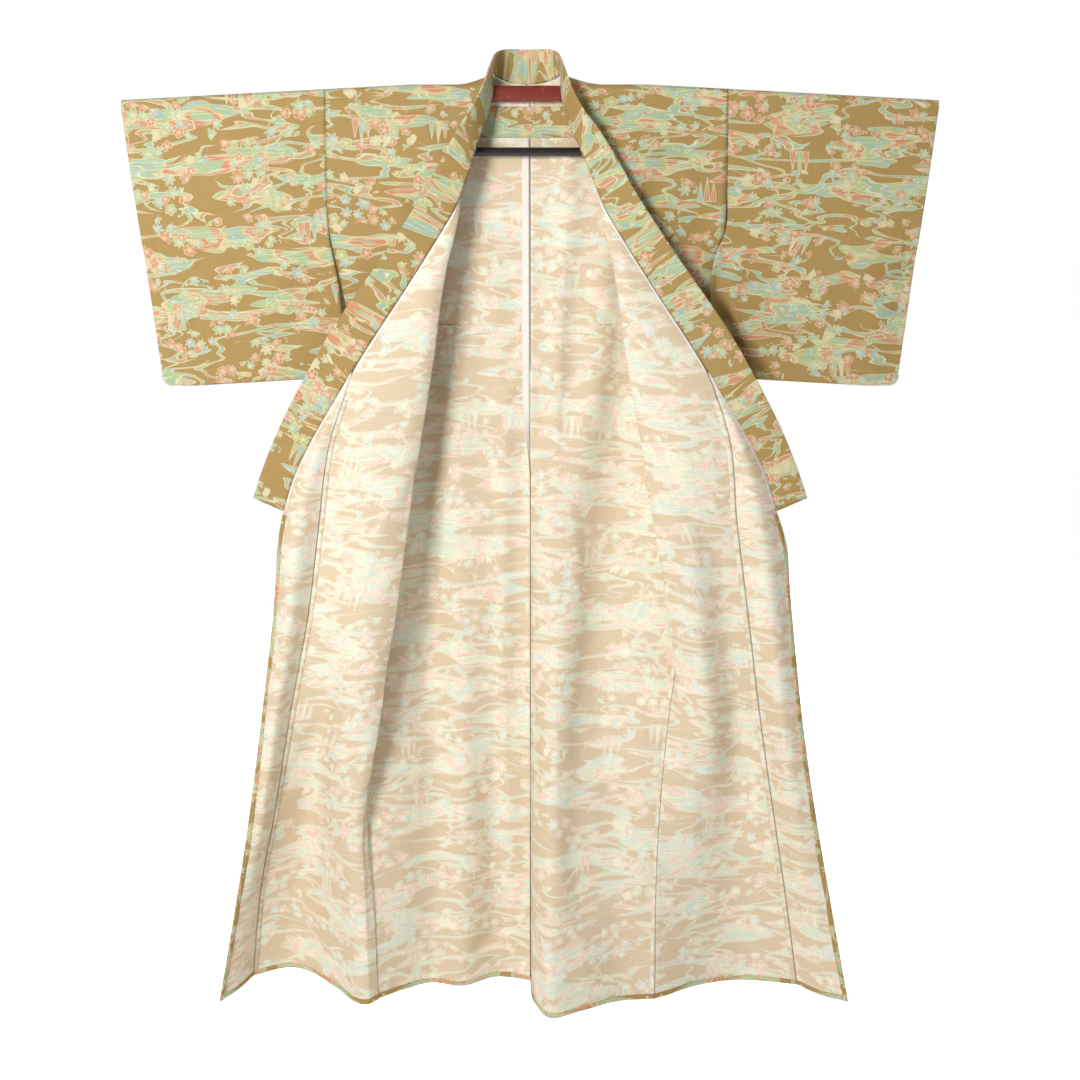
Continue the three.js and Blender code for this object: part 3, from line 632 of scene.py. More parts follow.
def frames_along(points, line, sideways):
    """Where a line of the sheet runs, the direction into the cloth there and the wrong side's normal. The line
    is a row or column of the sheet, given as its index; sideways reads a column."""
    normals = normals_of(points)
    if sideways:
        points, normals = points.swapaxes(0, 1), normals.swapaxes(0, 1)
    beside = points[1] if line == 0 else points[-2]
    return points[line], unit(beside - points[line]), normals[line]


def rolled_edge(name, points, line, sideways, side):
    """The narrow hem, turned twice to the wrong side, where the printed face shows; its stitches lie on it."""
    edge, inward, wrong = frames_along(points, line, sideways)
    wrong = wrong * side
    far = running(edge)
    uneven = 1 + 0.07 * np.sin(far / 31) + 0.05 * np.sin(far / 11 + 1)
    puffed = 1 + 0.18 * np.sin(far / 4) ** 2

    def lifted(reach, lift):
        return edge + inward * (reach * uneven)[:, None] + wrong * lift

    rows = [lifted(reach, (lift * np.where(lift > 1, puffed, 1))[:, None]) for reach, lift in ROLL]
    rows = np.stack(rows, axis=1)
    across, down = measured(rows, far)
    roll = sheet(name, rows, down + CUT.roll, across, UNSEWN, False, [crepe(False)])
    return [roll, stitches(f"{name}_stitches", lifted(*ROLL_SEWN), wrong, SILK)]


def allowance(name, points, line, side):
    """A seam's allowance, pressed flat over the wrong side of the panel that it belongs to, so it hides the gap."""
    edge, inward, wrong = frames_along(points, line, True)
    rows = np.stack([edge + inward * reach + wrong * side * lift for reach, lift in ALLOWANCE], axis=1)
    across, down = measured(rows, running(edge))
    flip = bool(np.sum(normals_of(rows)[:, -1] * wrong) * side > 0)
    faces = [crepe(True), crepe(False)]
    return sheet(name, rows, across + CUT.allowance, down, across, flip, faces, thin=ALLOWANCE_THIN)


def stitches(name, line, up, kind):
    """Small stitches along a line of points, lying on the cloth whose normals are given."""
    far = running(line)
    middles = np.arange(STITCH.every / 2, far[-1] - STITCH.every / 2, STITCH.every)
    middles = middles + STITCH.stray * np.sin(middles * 1.7)

    def at(values, place):
        return Vector([float(np.interp(place, far, values[:, k])) for k in range(3)])

    bm = bmesh.new()
    for middle in middles:
        ahead = (at(line, middle + 1) - at(line, middle - 1)).normalized()
        over = at(up, middle)
        aside = over.cross(ahead).normalized()
        over = ahead.cross(aside)
        lay = Matrix((ahead * STITCH.long, aside * STITCH.wide, over * STITCH.wide)).transposed().to_4x4()
        lay.translation = at(line, middle)
        bmesh.ops.create_icosphere(bm, subdivisions=1, radius=0.5, matrix=Matrix.Scale(MM, 4) @ lay)
    mesh = mesh_from(bm, name)
    mesh.shade_smooth()
    mesh.materials.append(thread(*kind))
    return seat(link(name, mesh))


# ---- settings ----
def srgb(code):
    """Linear colour of a #rrggbb code."""
    values = [int(code[i : i + 2], 16) / 255 for i in (1, 3, 5)]
    return [v / 12.92 if v <= 0.04045 else ((v + 0.055) / 1.055) ** 2.4 for v in values]


def length(name, description, default):
    return FloatProperty(name=name, description=description, default=default, min=0.0001, unit="LENGTH")


def dye(name, description, code):
    return FloatVectorProperty(name=name, description=description, default=srgb(code), subtype="COLOR")


class KimonoClothSettings(bpy.types.PropertyGroup):
    thickness: length("Cloth thickness", "Thickness of the crepe", 0.0006)
    row_step: length("Row spacing", "Largest distance between rows of the sheets", 0.007)
    crease_strength: FloatProperty(
        name="Crease strength", description="How strongly the creases stand out", default=1.0, min=0, subtype="FACTOR"
    )


class KimonoStageSettings(bpy.types.PropertyGroup):
    eye: FloatVectorProperty(
        name="Camera place", description="Where the camera stands", default=(0.017, -3.2, -0.15), subtype="XYZ"
    )
    tilt: FloatProperty(
        name="Tilt", description="How far the camera looks down", default=math.radians(11.185), subtype="ANGLE"
    )
    lens: FloatProperty(name="Lens", description="Focal length on a 36 mm sensor", default=61.363, unit="CAMERA")
    floor_drop: length("Floor drop", "How far the floor lies below the hem", 0.07)
    key_power: FloatProperty(name="Key light", description="Power of the main light", default=85.0, unit="POWER")
    back_power: FloatProperty(name="Back light", description="Power of the light behind", default=115.0, unit="POWER")
    fill: FloatProperty(name="Fill light", description="Brightness of the studio all round", default=0.275, min=0)


class KimonoPrintSettings(bpy.types.PropertyGroup):
    ground: dye("Ground", "Cloth between the figures", "#a78950")
    wrong_ground: dye("Ground, wrong side", "The same on the inside", "#d8c3a4")
    wrong_pale: dye("Pale dye", "What the figures fade to on the inside", "#f9f6f1")
    mint: dye("Mint", "Commonest colour of the figures", "#a6b78c")
    blue: dye("Pale blue", "Some leaves and water", "#9cb2a6")
    salmon: dye("Salmon", "Blossoms, leaves and evening mist", "#cb8a66")
    cream: dye("Cream", "Mist", "#d0c294")
    leaf: dye("Yellow green", "Low hills", "#b4b579")
    outline: dye("Outline", "Line round each figure", "#d6d1b0")
    bleed: length("Edge softness", "How far the dye's edges run on the face", 0.0004)
    wrong_bleed: length("Edge softness, wrong side", "The same on the inside", 0.0019)


# ---- shader graphs ----
class Value:
    """A node's output to reckon with: a + b, a * b, a < b and the like each add a node."""

    def __init__(self, graph, socket):
        self.graph, self.socket = graph, socket

    def __rsub__(self, other):
        return self.graph.math("SUBTRACT", other, self)

    def __abs__(self):
        return self.graph.math("ABSOLUTE", self)


OPERATIONS = {
    "add": "ADD", "radd": "ADD", "sub": "SUBTRACT", "mul": "MULTIPLY", "rmul": "MULTIPLY", "truediv": "DIVIDE",
    "pow": "POWER", "lt": "LESS_THAN", "gt": "GREATER_THAN",
}
for sign, operation in OPERATIONS.items():
    setattr(Value, f"__{sign}__", lambda a, b, operation=operation: a.graph.math(operation, a, b))


class Graph:
    """A node tree under construction: each call adds a node, and most give back its output."""

    def __init__(self, tree):
        self.tree = tree

    def feed(self, socket, value):
        if isinstance(value, Value):
            self.tree.links.new(value.socket, socket)
        elif socket.type == "RGBA":
            socket.default_value = (*value, 1)
        else:
            socket.default_value = value

    def add(self, kind, inputs, **settings):
        node = self.tree.nodes.new("ShaderNode" + kind)
        for name, value in settings.items():
            setattr(node, name, value)
        for key, value in inputs.items():
            self.feed(node.inputs[key], value)
        return node

    def out(self, kind, inputs=(), output=0, **settings):
        return Value(self, self.add(kind, dict(inputs), **settings).outputs[output])

    def outs(self, kind, inputs, **settings):
        return [Value(self, socket) for socket in self.add(kind, inputs, **settings).outputs]

    def group(self, tree, **inputs):
        """The named outputs of a shader group."""
        return {socket.name: Value(self, socket) for socket in self.add("Group", inputs, node_tree=tree).outputs}

    def math(self, operation, *values, clamp=False):
        return self.out("Math", enumerate(values), operation=operation, use_clamp=clamp)

    def largest(self, *values):
        return reduce(lambda a, b: self.math("MAXIMUM", a, b), values)

    def vector(self, operation, *values):
        return self.out("VectorMath", enumerate(values), operation=operation)

    def scaled(self, colour, tone):
        return self.out("VectorMath", {0: colour, 3: tone}, operation="SCALE")

    def rise(self, value, low, high, top=1.0):
        """0 where the value is low, softly up to the top where it is high."""
        inputs = {"Value": value, "From Min": low, "From Max": high, "To Max": top}
        return self.out("MapRange", inputs, interpolation_type="SMOOTHSTEP")

    def mix(self, share, a, b):
        return self.out("Mix", {0: share, 6: a, 7: b}, 2, data_type="RGBA")

    def noise(self, place, detail=1.0, output=0):
        return self.out("TexNoise", {"Vector": place, "Scale": 1.0, "Detail": detail}, output, noise_dimensions="2D")

    def stretched(self, place, across, down, seed=0.0):
        """A place on the cloth in a pattern that repeats so many times a metre across and down it."""
        return self.out("Mapping", {"Vector": place, "Location": (seed, seed * 1.7, 0), "Scale": (across, down, 1)})

    def ramp(self, value, stops, interpolation="EASE"):
        node = self.add("ValToRGB", {0: value})
        band = node.color_ramp
        band.interpolation = interpolation
        for i, (place, colour) in enumerate(stops):
            stop = band.elements[i] if i < 2 else band.elements.new(place)
            stop.position = place
            stop.color = (*colour, 1)
        return Value(self, node.outputs[0])

    def scatter(self, inside, randomness):
        """Cells over the cloth: each one's random numbers, and the place as seen from its middle."""
        inputs = {"Vector": inside["Place"], "Scale": inside["Density"], "Randomness": randomness}
        cells = self.add("TexVoronoi", inputs, voronoi_dimensions="2D").outputs
        own = self.outs("SeparateColor", {0: Value(self, cells["Color"])})
        return own, self.vector("SUBTRACT", inside["Place"], Value(self, cells["Position"]))

    def finish(self, shader, colour, relief, strength, deep):
        """Gives the shader its colour and, as bumps so deep, its relief."""
        bump = self.out("Bump", {"Strength": strength, "Distance": deep, "Height": relief})
        self.feed(shader.inputs["Base Color"], colour)
        self.feed(shader.inputs["Normal"], bump)


def node_group(name, inputs, build):
    """The shader group of that name, made on first use: build gets its graph and inputs and gives its outputs."""
    tree = bpy.data.node_groups.get(name)
    if tree:
        return tree
    tree = bpy.data.node_groups.new(name, "ShaderNodeTree")
    for key, value in inputs.items():
        kind = "NodeSocketFloat" if isinstance(value, float) else "NodeSocketVector"
        tree.interface.new_socket(key, in_out="INPUT", socket_type=kind).default_value = value
    g = Graph(tree)
    inside = {socket.name: Value(g, socket) for socket in tree.nodes.new("NodeGroupInput").outputs}
    made = build(g, inside)
    for key in made:
        kind = "NodeSocketColor" if key == "Colour" else "NodeSocketFloat"
        tree.interface.new_socket(key, in_out="OUTPUT", socket_type=kind)
    outside = tree.nodes.new("NodeGroupOutput").inputs
    for key, value in made.items():
        g.feed(outside[key], value)
    return tree


ORIGIN = (0, 0, 0)


def contour_group():
    """How far in metres a place on the cloth lies inside the wandering level lines of a stretched noise."""
    reach = 0.0012  # over which the slope is measured
    least_rise = 0.0022  # over that reach, where the noise is nearly level

    def build(g, inside):
        def height(shift):
            place = g.vector("MULTIPLY", g.vector("ADD", inside["Place"], shift), inside["Stretch"])
            return g.noise(g.vector("ADD", place, inside["Seed"]), 1.2)

        here = height(ORIGIN)
        rises = [height(shift) - here for shift in ((reach, 0, 0), (0, reach, 0))]
        steep = g.math("SQRT", rises[0] * rises[0] + rises[1] * rises[1])
        return {"Distance": (here - inside["Level"]) / (g.largest(steep, least_rise) / reach)}

    return node_group("Wandering line", {"Place": ORIGIN, "Stretch": (5, 14, 1), "Seed": ORIGIN, "Level": 0.5}, build)


def figure_group():
    """A figure scattered here and there: distance in metres inside its outline, its veins, its own number, and
    its depth, which is 0 in its middle. It is a maple leaf of seven lobes or a blossom of five petals."""

    def build(g, inside):
        own, local = g.scatter(inside, 1.0)
        x, y, _ = g.outs("SeparateXYZ", {0: local})
        far = g.out("VectorMath", {0: local}, "Value", operation="LENGTH")
        turned = g.math("ARCTAN2", y, x) + own[0] * math.tau

        def lobes(count):
            return abs(g.math("FRACT", turned * (count / math.tau)) * 2.0 - 1.0)

        leaf_lobe, petal = lobes(7), lobes(5)
        leaf = (leaf_lobe * 0.5 + 0.5) * (g.math("SINE", turned) * 0.24 + 0.8)
        bloom = (1.0 - petal) ** 0.45 * 0.3 + 0.5
        is_bloom = own[1] > 0.72
        radius = leaf + is_bloom * (bloom - leaf)
        size = inside["Size"] * (own[0] * 0.6 + 0.62)
        lobe = leaf_lobe + is_bloom * (petal - leaf_lobe)
        vein = (1.0 - lobe) * (far * 0.45) < 0.00032
        hidden = 1.0 - (own[2] < inside["Share"])
        return {
            "Distance": (radius * size - far) * 0.62 - hidden,
            "Vein": g.largest(vein, far < 0.0011),
            "Number": own[1],
            "Depth": far / size,
        }

    inputs = {"Place": ORIGIN, "Density": 24.0, "Size": 0.012, "Share": 0.5}
    return node_group("Leaves and blossoms", inputs, build)


def tree_group():
    """Little stands of three pointed trees, some upside down as on cloth that runs over the shoulder."""
    apart = 0.0112

    def build(g, inside):
        own, local = g.scatter(inside, 0.7)
        x, y, _ = g.outs("SeparateXYZ", {0: local})
        up = y * ((own[0] > 0.3) * -2.0 + 1.0) + 0.019
        which = g.math("MINIMUM", g.largest(g.math("ROUND", x / apart), -1.0), 1.0)
        aside = abs(x - which * apart)
        share = up / (abs(which) * -0.009 + 0.041)
        wide = (1.0 - g.largest(share, 0.0) ** 1.4) * 0.0049
        hidden = 1.0 - (own[1] < inside["Share"])
        return {
            "Distance": g.math("MINIMUM", wide - aside, up) - hidden,
            "Vein": aside < 0.0004,
            "Number": g.math("FRACT", own[2] + which * 0.37),
        }

    return node_group("Pointed trees", {"Place": ORIGIN, "Density": 7.0, "Share": 0.5}, build)


# Where each dye begins, over the soft washes and by a figure's own number.
WASHES = [
    (0.30, "mint"), (0.37, "blue"), (0.42, "mint"), (0.47, "leaf"),
    (0.51, "cream"), (0.55, "salmon"), (0.60, "salmon"), (0.67, "mint"),
]
FIGURE_DYES = [(0.0, "salmon"), (0.26, "mint"), (0.48, "blue"), (0.66, "cream"), (0.76, "salmon"), (0.9, "leaf")]
STREAMS = [((5.5, 15, 1), 11.0), ((6.5, 13, 1), 27.0), ((4.5, 19, 1), 41.0)]  # stretch of the wanderings, and seed


def print_group():
    """The crepe's print: winding streams, hills of mist, maple leaves, blossoms and pointed trees.
    Cover says where it lies over the ground, and Bleed is how far its edges run, in metres."""
    dyes = bpy.context.scene.kimono_print

    def build(g, inside):
        place, bleed = inside["Place"], inside["Bleed"]

        def cover(distance):
            return g.math("DIVIDE", distance + bleed, bleed * 2.0, clamp=True)

        def line(distance, half):
            return cover(half - abs(distance))

        def dyed(value, stops, interpolation):
            return g.ramp(value, [(start, getattr(dyes, name)) for start, name in stops], interpolation)

        drift = g.vector("SUBTRACT", g.noise(g.stretched(place, 6, 38, 3.1), output=1), (0.5, 0.5, 0.5))
        bent = g.vector("MULTIPLY_ADD", drift, (0.105, 0.016, 0), place)

        def wander(stretch, seed, level):
            seed = (seed, seed * 0.6, 0)
            return g.group(contour_group(), Place=bent, Stretch=stretch, Seed=seed, Level=level)["Distance"]

        # Hills and mist, with fine strokes along them
        soft = dyed(g.noise(g.stretched(place, 13, 30, 8.4), 1.6), WASHES, "EASE")
        hills = wander((8.0, 24, 1), 4.0, 0.556)
        strokes = g.noise(g.stretched(bent, 22, 420, 2.0), 0.0)
        strokes = g.rise(strokes, 0.56, 0.66) * g.rise(hills, 0.001, 0.006, 0.55)
        # Streams, which run out to nothing
        flows = []
        for stretch, seed in STREAMS:
            wide = g.rise(g.noise(g.stretched(place, 6, 9, seed), 0.0), 0.40, 0.56, 0.0036) - 0.0007
            flows.append(wide - abs(wander(stretch, seed, 0.5)))
        stream = g.largest(*flows)
        stream_cover = cover(stream)
        # Leaves and blossoms in clusters, and trees
        clusters = g.rise(g.noise(g.stretched(place, 15, 24, 5.0), 0.0), 0.44, 0.6)
        spread = g.stretched(place, 1, 1, 0.37)
        leaves = g.group(figure_group(), Place=spread, Density=46.0, Size=0.0135, Share=clusters)
        trees = g.group(tree_group(), Place=g.stretched(place, 1, 1, 0.71), Density=8.5, Share=0.4)
        leaf_dye = dyed(leaves["Number"], FIGURE_DYES, "CONSTANT")
        leaf_dye = g.mix(g.rise(leaves["Depth"], 0.55, 0.1, 0.45), leaf_dye, dyes.outline)
        tree_dye = dyed(trees["Number"], FIGURE_DYES, "CONSTANT")

        colour = g.mix(strokes, soft, dyes.outline)
        colour = g.mix(stream_cover * 0.9, colour, g.mix(0.35, soft, dyes.mint))
        lines = g.largest(line(hills, 0.0006) * 0.85, line(stream, 0.00055))
        colour = g.mix(lines, colour, dyes.outline)
        whole = g.largest(cover(hills), stream_cover, lines)
        for figure, tint, line_width in ((trees, tree_dye, 0.0005), (leaves, leaf_dye, 0.0004)):
            there = cover(figure["Distance"])
            rim = line(figure["Distance"], line_width)
            vein = figure["Vein"] * there * 0.7
            colour = g.mix(g.largest(rim, vein), g.mix(there, colour, tint), dyes.outline)
            whole = g.largest(whole, there, rim)
        return {"Colour": colour, "Cover": whole}

    return node_group("Crepe print", {"Place": ORIGIN, "Bleed": 0.0004}, build)


def weave_group():
    """The crepe's weave: Tone is the threads' unevenness around 0.5 and Height their fine crinkle."""

    def build(g, inside):
        place = inside["Place"]
        threads = g.noise(g.stretched(place, 640, 26)) + g.noise(g.stretched(place, 22, 560, 4.0))
        pebble = g.noise(g.stretched(place, 900, 700, 1.0), 2.0)
        cloudy = g.noise(g.stretched(place, 14, 9, 2.0), 2.0)
        return {"Tone": cloudy * 0.16 + (threads * 0.32 + pebble * 0.2), "Height": pebble + threads * 0.5}

    return node_group("Crepe weave", {"Place": ORIGIN}, build)


def material(name, build, colour, **constants):
    """The material of that name, made on first use: build gets its graph and shader. The constants are the
    shader's own sockets, and the colour is also the plain one that viewers show."""
    made = bpy.data.materials.get(name)
    if made is None:
        made = bpy.data.materials.new(name)
        made.use_nodes = True
        made.diffuse_color = (*colour, 1)
        shader = made.node_tree.nodes["Principled BSDF"]
        for key, value in constants.items():
            shader.inputs[key.replace("_", " ")].default_value = value
        build(Graph(made.node_tree), shader)
    return made


# ---- finishes ----
FADED = SimpleNamespace(lighter=1.22, to_pale=0.46, cover=0.92)  # the print on the wrong side
PAINTED_SEAM_SHADE = 0.16  # painted shade at seams: the cloth's tone rises by this much over the 4 mm away from a seam
SEAM_SHADE_TONE = 0.55  # the wrong side's tone right at a seam, darkened further with painted shade


def crepe(wrong_side):
    """The printed crepe, darkened next to each seam with painted shade. On the wrong side the dye shows through,
    paler and softer at its edges.
    """
    dyes = bpy.context.scene.kimono_print
    ground = dyes.wrong_ground if wrong_side else dyes.ground
    bleed = dyes.wrong_bleed if wrong_side else dyes.bleed

    def build(g, shader):
        place = g.out("UVMap", uv_map="cloth")
        pattern = g.group(print_group(), Place=place, Bleed=bleed)
        weave = g.group(weave_group(), Place=place)
        colour, cover = pattern["Colour"], pattern["Cover"]
        if wrong_side:
            colour = g.mix(FADED.to_pale, g.scaled(colour, FADED.lighter), dyes.wrong_pale)
            cover = cover * FADED.cover
        colour = g.mix(cover, ground, colour)
        edge = g.out("Attribute", output="Fac", attribute_name="edge")
        # painted shade at each seam: both faces darken within 4 mm of a sewn edge
        tone = weave["Tone"] * 0.36 + 0.66 + g.rise(edge, 0.0, 0.004, PAINTED_SEAM_SHADE)
        if wrong_side:  # the pressed edge beside each seam is pale, and the seam itself darker still with painted shade
            pressed = g.math("SUBTRACT", g.rise(edge, 0.0005, 0.0014), g.rise(edge, 0.0036, 0.0052), clamp=True)
            pale = g.out("Attribute", output="Fac", attribute_name="pale")
            colour = g.mix(pressed * pale, colour, dyes.wrong_pale)
            tone = tone * (g.rise(edge, 0.0002, 0.0017, 1 - SEAM_SHADE_TONE) + SEAM_SHADE_TONE)
        g.finish(shader, g.scaled(colour, tone), weave["Height"], 0.25, 0.0004)
        g.feed(shader.inputs["Roughness"], weave["Height"] * 0.12 + 0.62)

    name = "Crepe wrong side" if wrong_side else "Printed crepe"
    return material(name, build, ground, Sheen_Weight=0.12, Sheen_Roughness=0.4, Specular_IOR_Level=0.35)


def white_tape():
    """Woven cotton tape, off white, with fine ribs across it."""
    white = srgb("#f2ece2")

    def build(g, shader):
        place = g.out("UVMap", uv_map="cloth")
        ribs = g.out("TexWave", {"Vector": place, "Scale": 260.0, "Distortion": 0.6}, 1, bands_direction="Y")
        cloudy = g.noise(g.stretched(place, 60, 14), 2.0)
        g.finish(shader, g.scaled(white, cloudy * 0.14 + (ribs * 0.05 + 0.84)), ribs, 0.3, 0.0003)

    return material("White cotton tape", build, white, Roughness=0.78, Sheen_Weight=0.1)


def thread(name, code):
    """Twisted sewing thread."""
    colour = srgb(code)

    def build(g, shader):
        place = g.out("TexCoord", output="Object")
        twist = g.out("TexWave", {"Vector": place, "Scale": 900.0}, 1, bands_direction="DIAGONAL")
        g.finish(shader, g.scaled(colour, twist * 0.3 + 0.75), twist, 0.4, 0.0002)

    return material(name, build, colour, Roughness=0.5, Sheen_Weight=0.2)


def lacquer(name, code, worn_code):
    """Hard lacquer over wood: glossy, a little uneven, and scuffed here and there."""
    colour = srgb(code)

    def build(g, shader):
        place = g.out("TexCoord", output="Object")
        grain = g.out("TexNoise", {"Vector": g.vector("MULTIPLY", place, (6, 90, 90)), "Scale": 1.0, "Detail": 3.0})
        scuffed = g.rise(g.out("TexNoise", {"Vector": place, "Scale": 55.0, "Detail": 4.0}), 0.56, 0.74)
        deep = g.scaled(colour, grain * 0.5 + 0.75)
        g.finish(shader, g.mix(scuffed * 0.35, deep, srgb(worn_code)), grain, 0.12, 0.0005)
        g.feed(shader.inputs["Roughness"], scuffed * 0.3 + 0.22)

    return material(name, build, colour, Coat_Weight=0.4, Coat_Roughness=0.12)


def pale_floor():
    """Pale plaster with a fine, faint grain."""

    def build(g, shader):
        place = g.out("TexCoord", output="Object")
        grain = g.out("TexNoise", {"Vector": place, "Scale": 35.0, "Detail": 5.0})
        g.finish(shader, g.scaled((1, 1, 1), grain * 0.04 + 0.9), grain, 0.08, 0.001)
        g.feed(shader.inputs["Emission Strength"], g.out("LightPath", output="Is Camera Ray") * 0.74)

    return material("Pale plaster", build, (0.9, 0.9, 0.9), Roughness=0.85, Emission_Color=(1, 1, 1, 1))


# ---- pieces ----
# Creases of each panel: from one place on it to another, across from its side edge (or the armhole) and down from
# the shoulder, below 0 on the back of the body and on the front of the sleeve; then its height and its spread.
BODY_CREASES = {
    RIGHT: numbers("""
        190 -1600 305 -1560 2.6 10
        215 -1625 290 -1600 -2.2 8
        120 -1500 215 -1330 1.6 16
        262 -1420 318 -1210 -2.0 18
        90 -1210 160 -960 1.8 20
        236 -1060 300 -820 1.6 16
        110 -830 190 -620 -1.6 15
        250 -640 322 -520 1.7 11
        190 -520 268 -400 -1.4 10
        60 -330 210 -180 1.2 16
        130 -215 300 -120 -1.0 14
        60 170 190 330 1.6 16
        20 260 110 420 -1.5 13
        150 90 235 190 1.0 13
        85 560 140 760 1.6 14
        150 700 205 980 -1.8 18
        70 900 100 1180 1.8 15
        190 1090 236 1330 1.8 15
        30 1240 120 1400 -1.6 12
        140 1440 230 1560 2.0 13
        60 1560 130 1625 -2.0 9
        196 -300 198 -1250 3.0 30
        262 -300 262 -1250 -7.0 28
        133 -300 140 -1300 5.5 30
        285 -560 282 -1450 -6.5 18
    """),
    LEFT: numbers("""
        228 -1615 320 -1500 2.2 14
        150 -1540 210 -1340 -1.8 15
        90 -1360 130 -1080 1.8 17
        250 -1250 300 -1010 1.7 14
        180 -1010 235 -760 -1.9 18
        110 -790 170 -560 1.6 14
        262 -700 318 -500 1.5 12
        150 -470 250 -340 1.4 11
        60 -310 180 -200 -1.3 14
        160 -190 310 -110 1.0 13
        40 150 175 300 1.8 15
        15 230 100 380 -1.7 12
        170 90 240 200 -1.0 12
        98 520 118 760 -1.4 7
        160 640 205 900 1.8 16
        60 820 130 1010 1.7 13
        150 1060 210 1290 -1.8 17
        70 1230 96 1450 1.6 13
        175 1380 240 1560 1.9 14
        60 1540 150 1615 -2.0 10
        270 -150 272 -1050 -8.0 24
        150 -140 144 -1480 11.0 44
        44 -200 42 -1450 -6.0 36
    """),
}
SLEEVE_CREASES = {
    RIGHT: numbers("""
        30 -330 110 -440 -2.6 16
        70 -290 160 -400 2.0 18
        120 -90 250 -250 1.3 26
        210 -330 300 -460 -1.4 18
        20 -200 80 -300 1.6 14
        250 -60 320 -200 -1.2 18
        40 140 130 330 1.6 20
        150 300 240 440 -1.8 18
        220 100 310 240 1.2 20
    """),
    LEFT: numbers("""
        6 -330 60 -472 -11.0 13
        42 -380 76 -478 5.5 7
        14 -270 24 -330 -3.0 12
        90 -300 190 -440 -1.8 18
        130 -80 240 -230 1.3 24
        220 -240 310 -380 1.5 20
        60 -150 110 -260 -1.4 14
        50 160 140 340 -1.7 20
        160 320 260 450 1.7 18
        210 90 300 220 -1.2 20
    """),
}
BODY_CREASING, SLEEVE_CREASING = 1.7, 1.5  # how much stronger the creases are than their heights say
SEWN_FLAT = 12  # creases fade out this near to a seam
BY_COLLAR, ELSEWHERE = 0.85, 0.2  # how strongly an edge is pressed
UNMARKED = SimpleNamespace(by=12, depth=470, over=90)  # the back seam's painted shade hardly shows below the waist


@cache
def body_sheet(side, longest, strength):
    """The body panel's fine grid with the distances across and down its cloth, and each row's depth."""
    d = drape()[side]
    fine, places, chord = finer(d.back + d.top + d.front, longest)
    depths = np.array([*DEPTHS[::-1], YOKE_DEPTH, *[0] * len(d.top), *DEPTHS], float)
    shoulder = chord[len(d.back) + 3]
    across, down = measured(fine, places - shoulder)
    centre = across[:, -1:] - across
    wrinkled = creased(fine, across, down, BODY_CREASES[side], -side * strength * BODY_CREASING)
    fine = lerp(fine, wrinkled, ease(np.minimum(across, centre) / SEWN_FLAT)[..., None])
    depth, back = np.interp(places, chord, depths), places < chord[len(d.back) - 1]
    unmarked = UNMARKED.by * ease((depth - UNMARKED.depth) / UNMARKED.over) * back
    edge = np.minimum(across, centre + unmarked[:, None])
    by_collar = ~back[:, None] & (depth[:, None] < BAND_TOP) & (centre < across)
    pale = np.where(by_collar, BY_COLLAR, ELSEWHERE)
    return SimpleNamespace(points=fine, across=across, down=down, edge=edge, pale=pale, depth=depth, back=back)


class KIMONO_OT_body(bpy.types.Operator):
    """Hang the two main lengths, each from its front hem over the shoulder to its back hem."""

    bl_idname = "kimono.body"
    bl_label = "Body"

    def execute(self, context):
        cloth = context.scene.kimono_cloth
        for word, side in SIDES.items():
            s = body_sheet(side, cloth.row_step / MM, cloth.crease_strength)
            made = sheet(
                f"body_cloth_{word}", s.points, side * (CUT.body - s.across), s.down, s.edge, side == RIGHT,
                node=f"body_{word}", pale=s.pale,
            )
            hems = []
            for place, line in (("front", -1), ("back", 0)):
                hems += rolled_edge(f"{place}_hem_{word}", s.points, line, False, side)
            back = s.points[s.back & (s.depth > SIDE_OPEN_END + 8)]
            front = s.points[~s.back & (s.depth > BAND_TOP + 40)]
            hems.append(allowance(f"side_seam_allowance_{word}", back, 0, side))
            hems.append(allowance(f"front_seam_allowance_{word}", front, -1, side))
        return {"FINISHED"}


class KIMONO_OT_front_bands(bpy.types.Operator):
    """Sew the two narrow front panels on, pointed at the top under the collar."""

    bl_idname = "kimono.front_bands"
    bl_label = "Front bands"

    def execute(self, context):
        for word, side in SIDES.items():
            fine, places, _ = finer(drape()[side].band, context.scene.kimono_cloth.row_step / MM)
            across, down = measured(fine, places)
            outer = across[:, -1:] - across
            by_collar = (outer < across) & (fine[..., 2] > -TIP_DEPTH)
            made = sheet(
                f"front_band_cloth_{word}", fine, CUT.band - side * across, down + 700 * side,
                np.where(by_collar, outer, across), side == RIGHT,
                node=f"front_band_{word}", pale=np.where(by_collar, BY_COLLAR, ELSEWHERE),
            )
            free = fine[np.searchsorted(-fine[:, -1, 2], TIP_DEPTH + 6) :]
            hems = rolled_edge(f"front_edge_{word}", free, -1, True, side)
            hems += rolled_edge(f"front_band_hem_{word}", fine, -1, False, side)
        return {"FINISHED"}


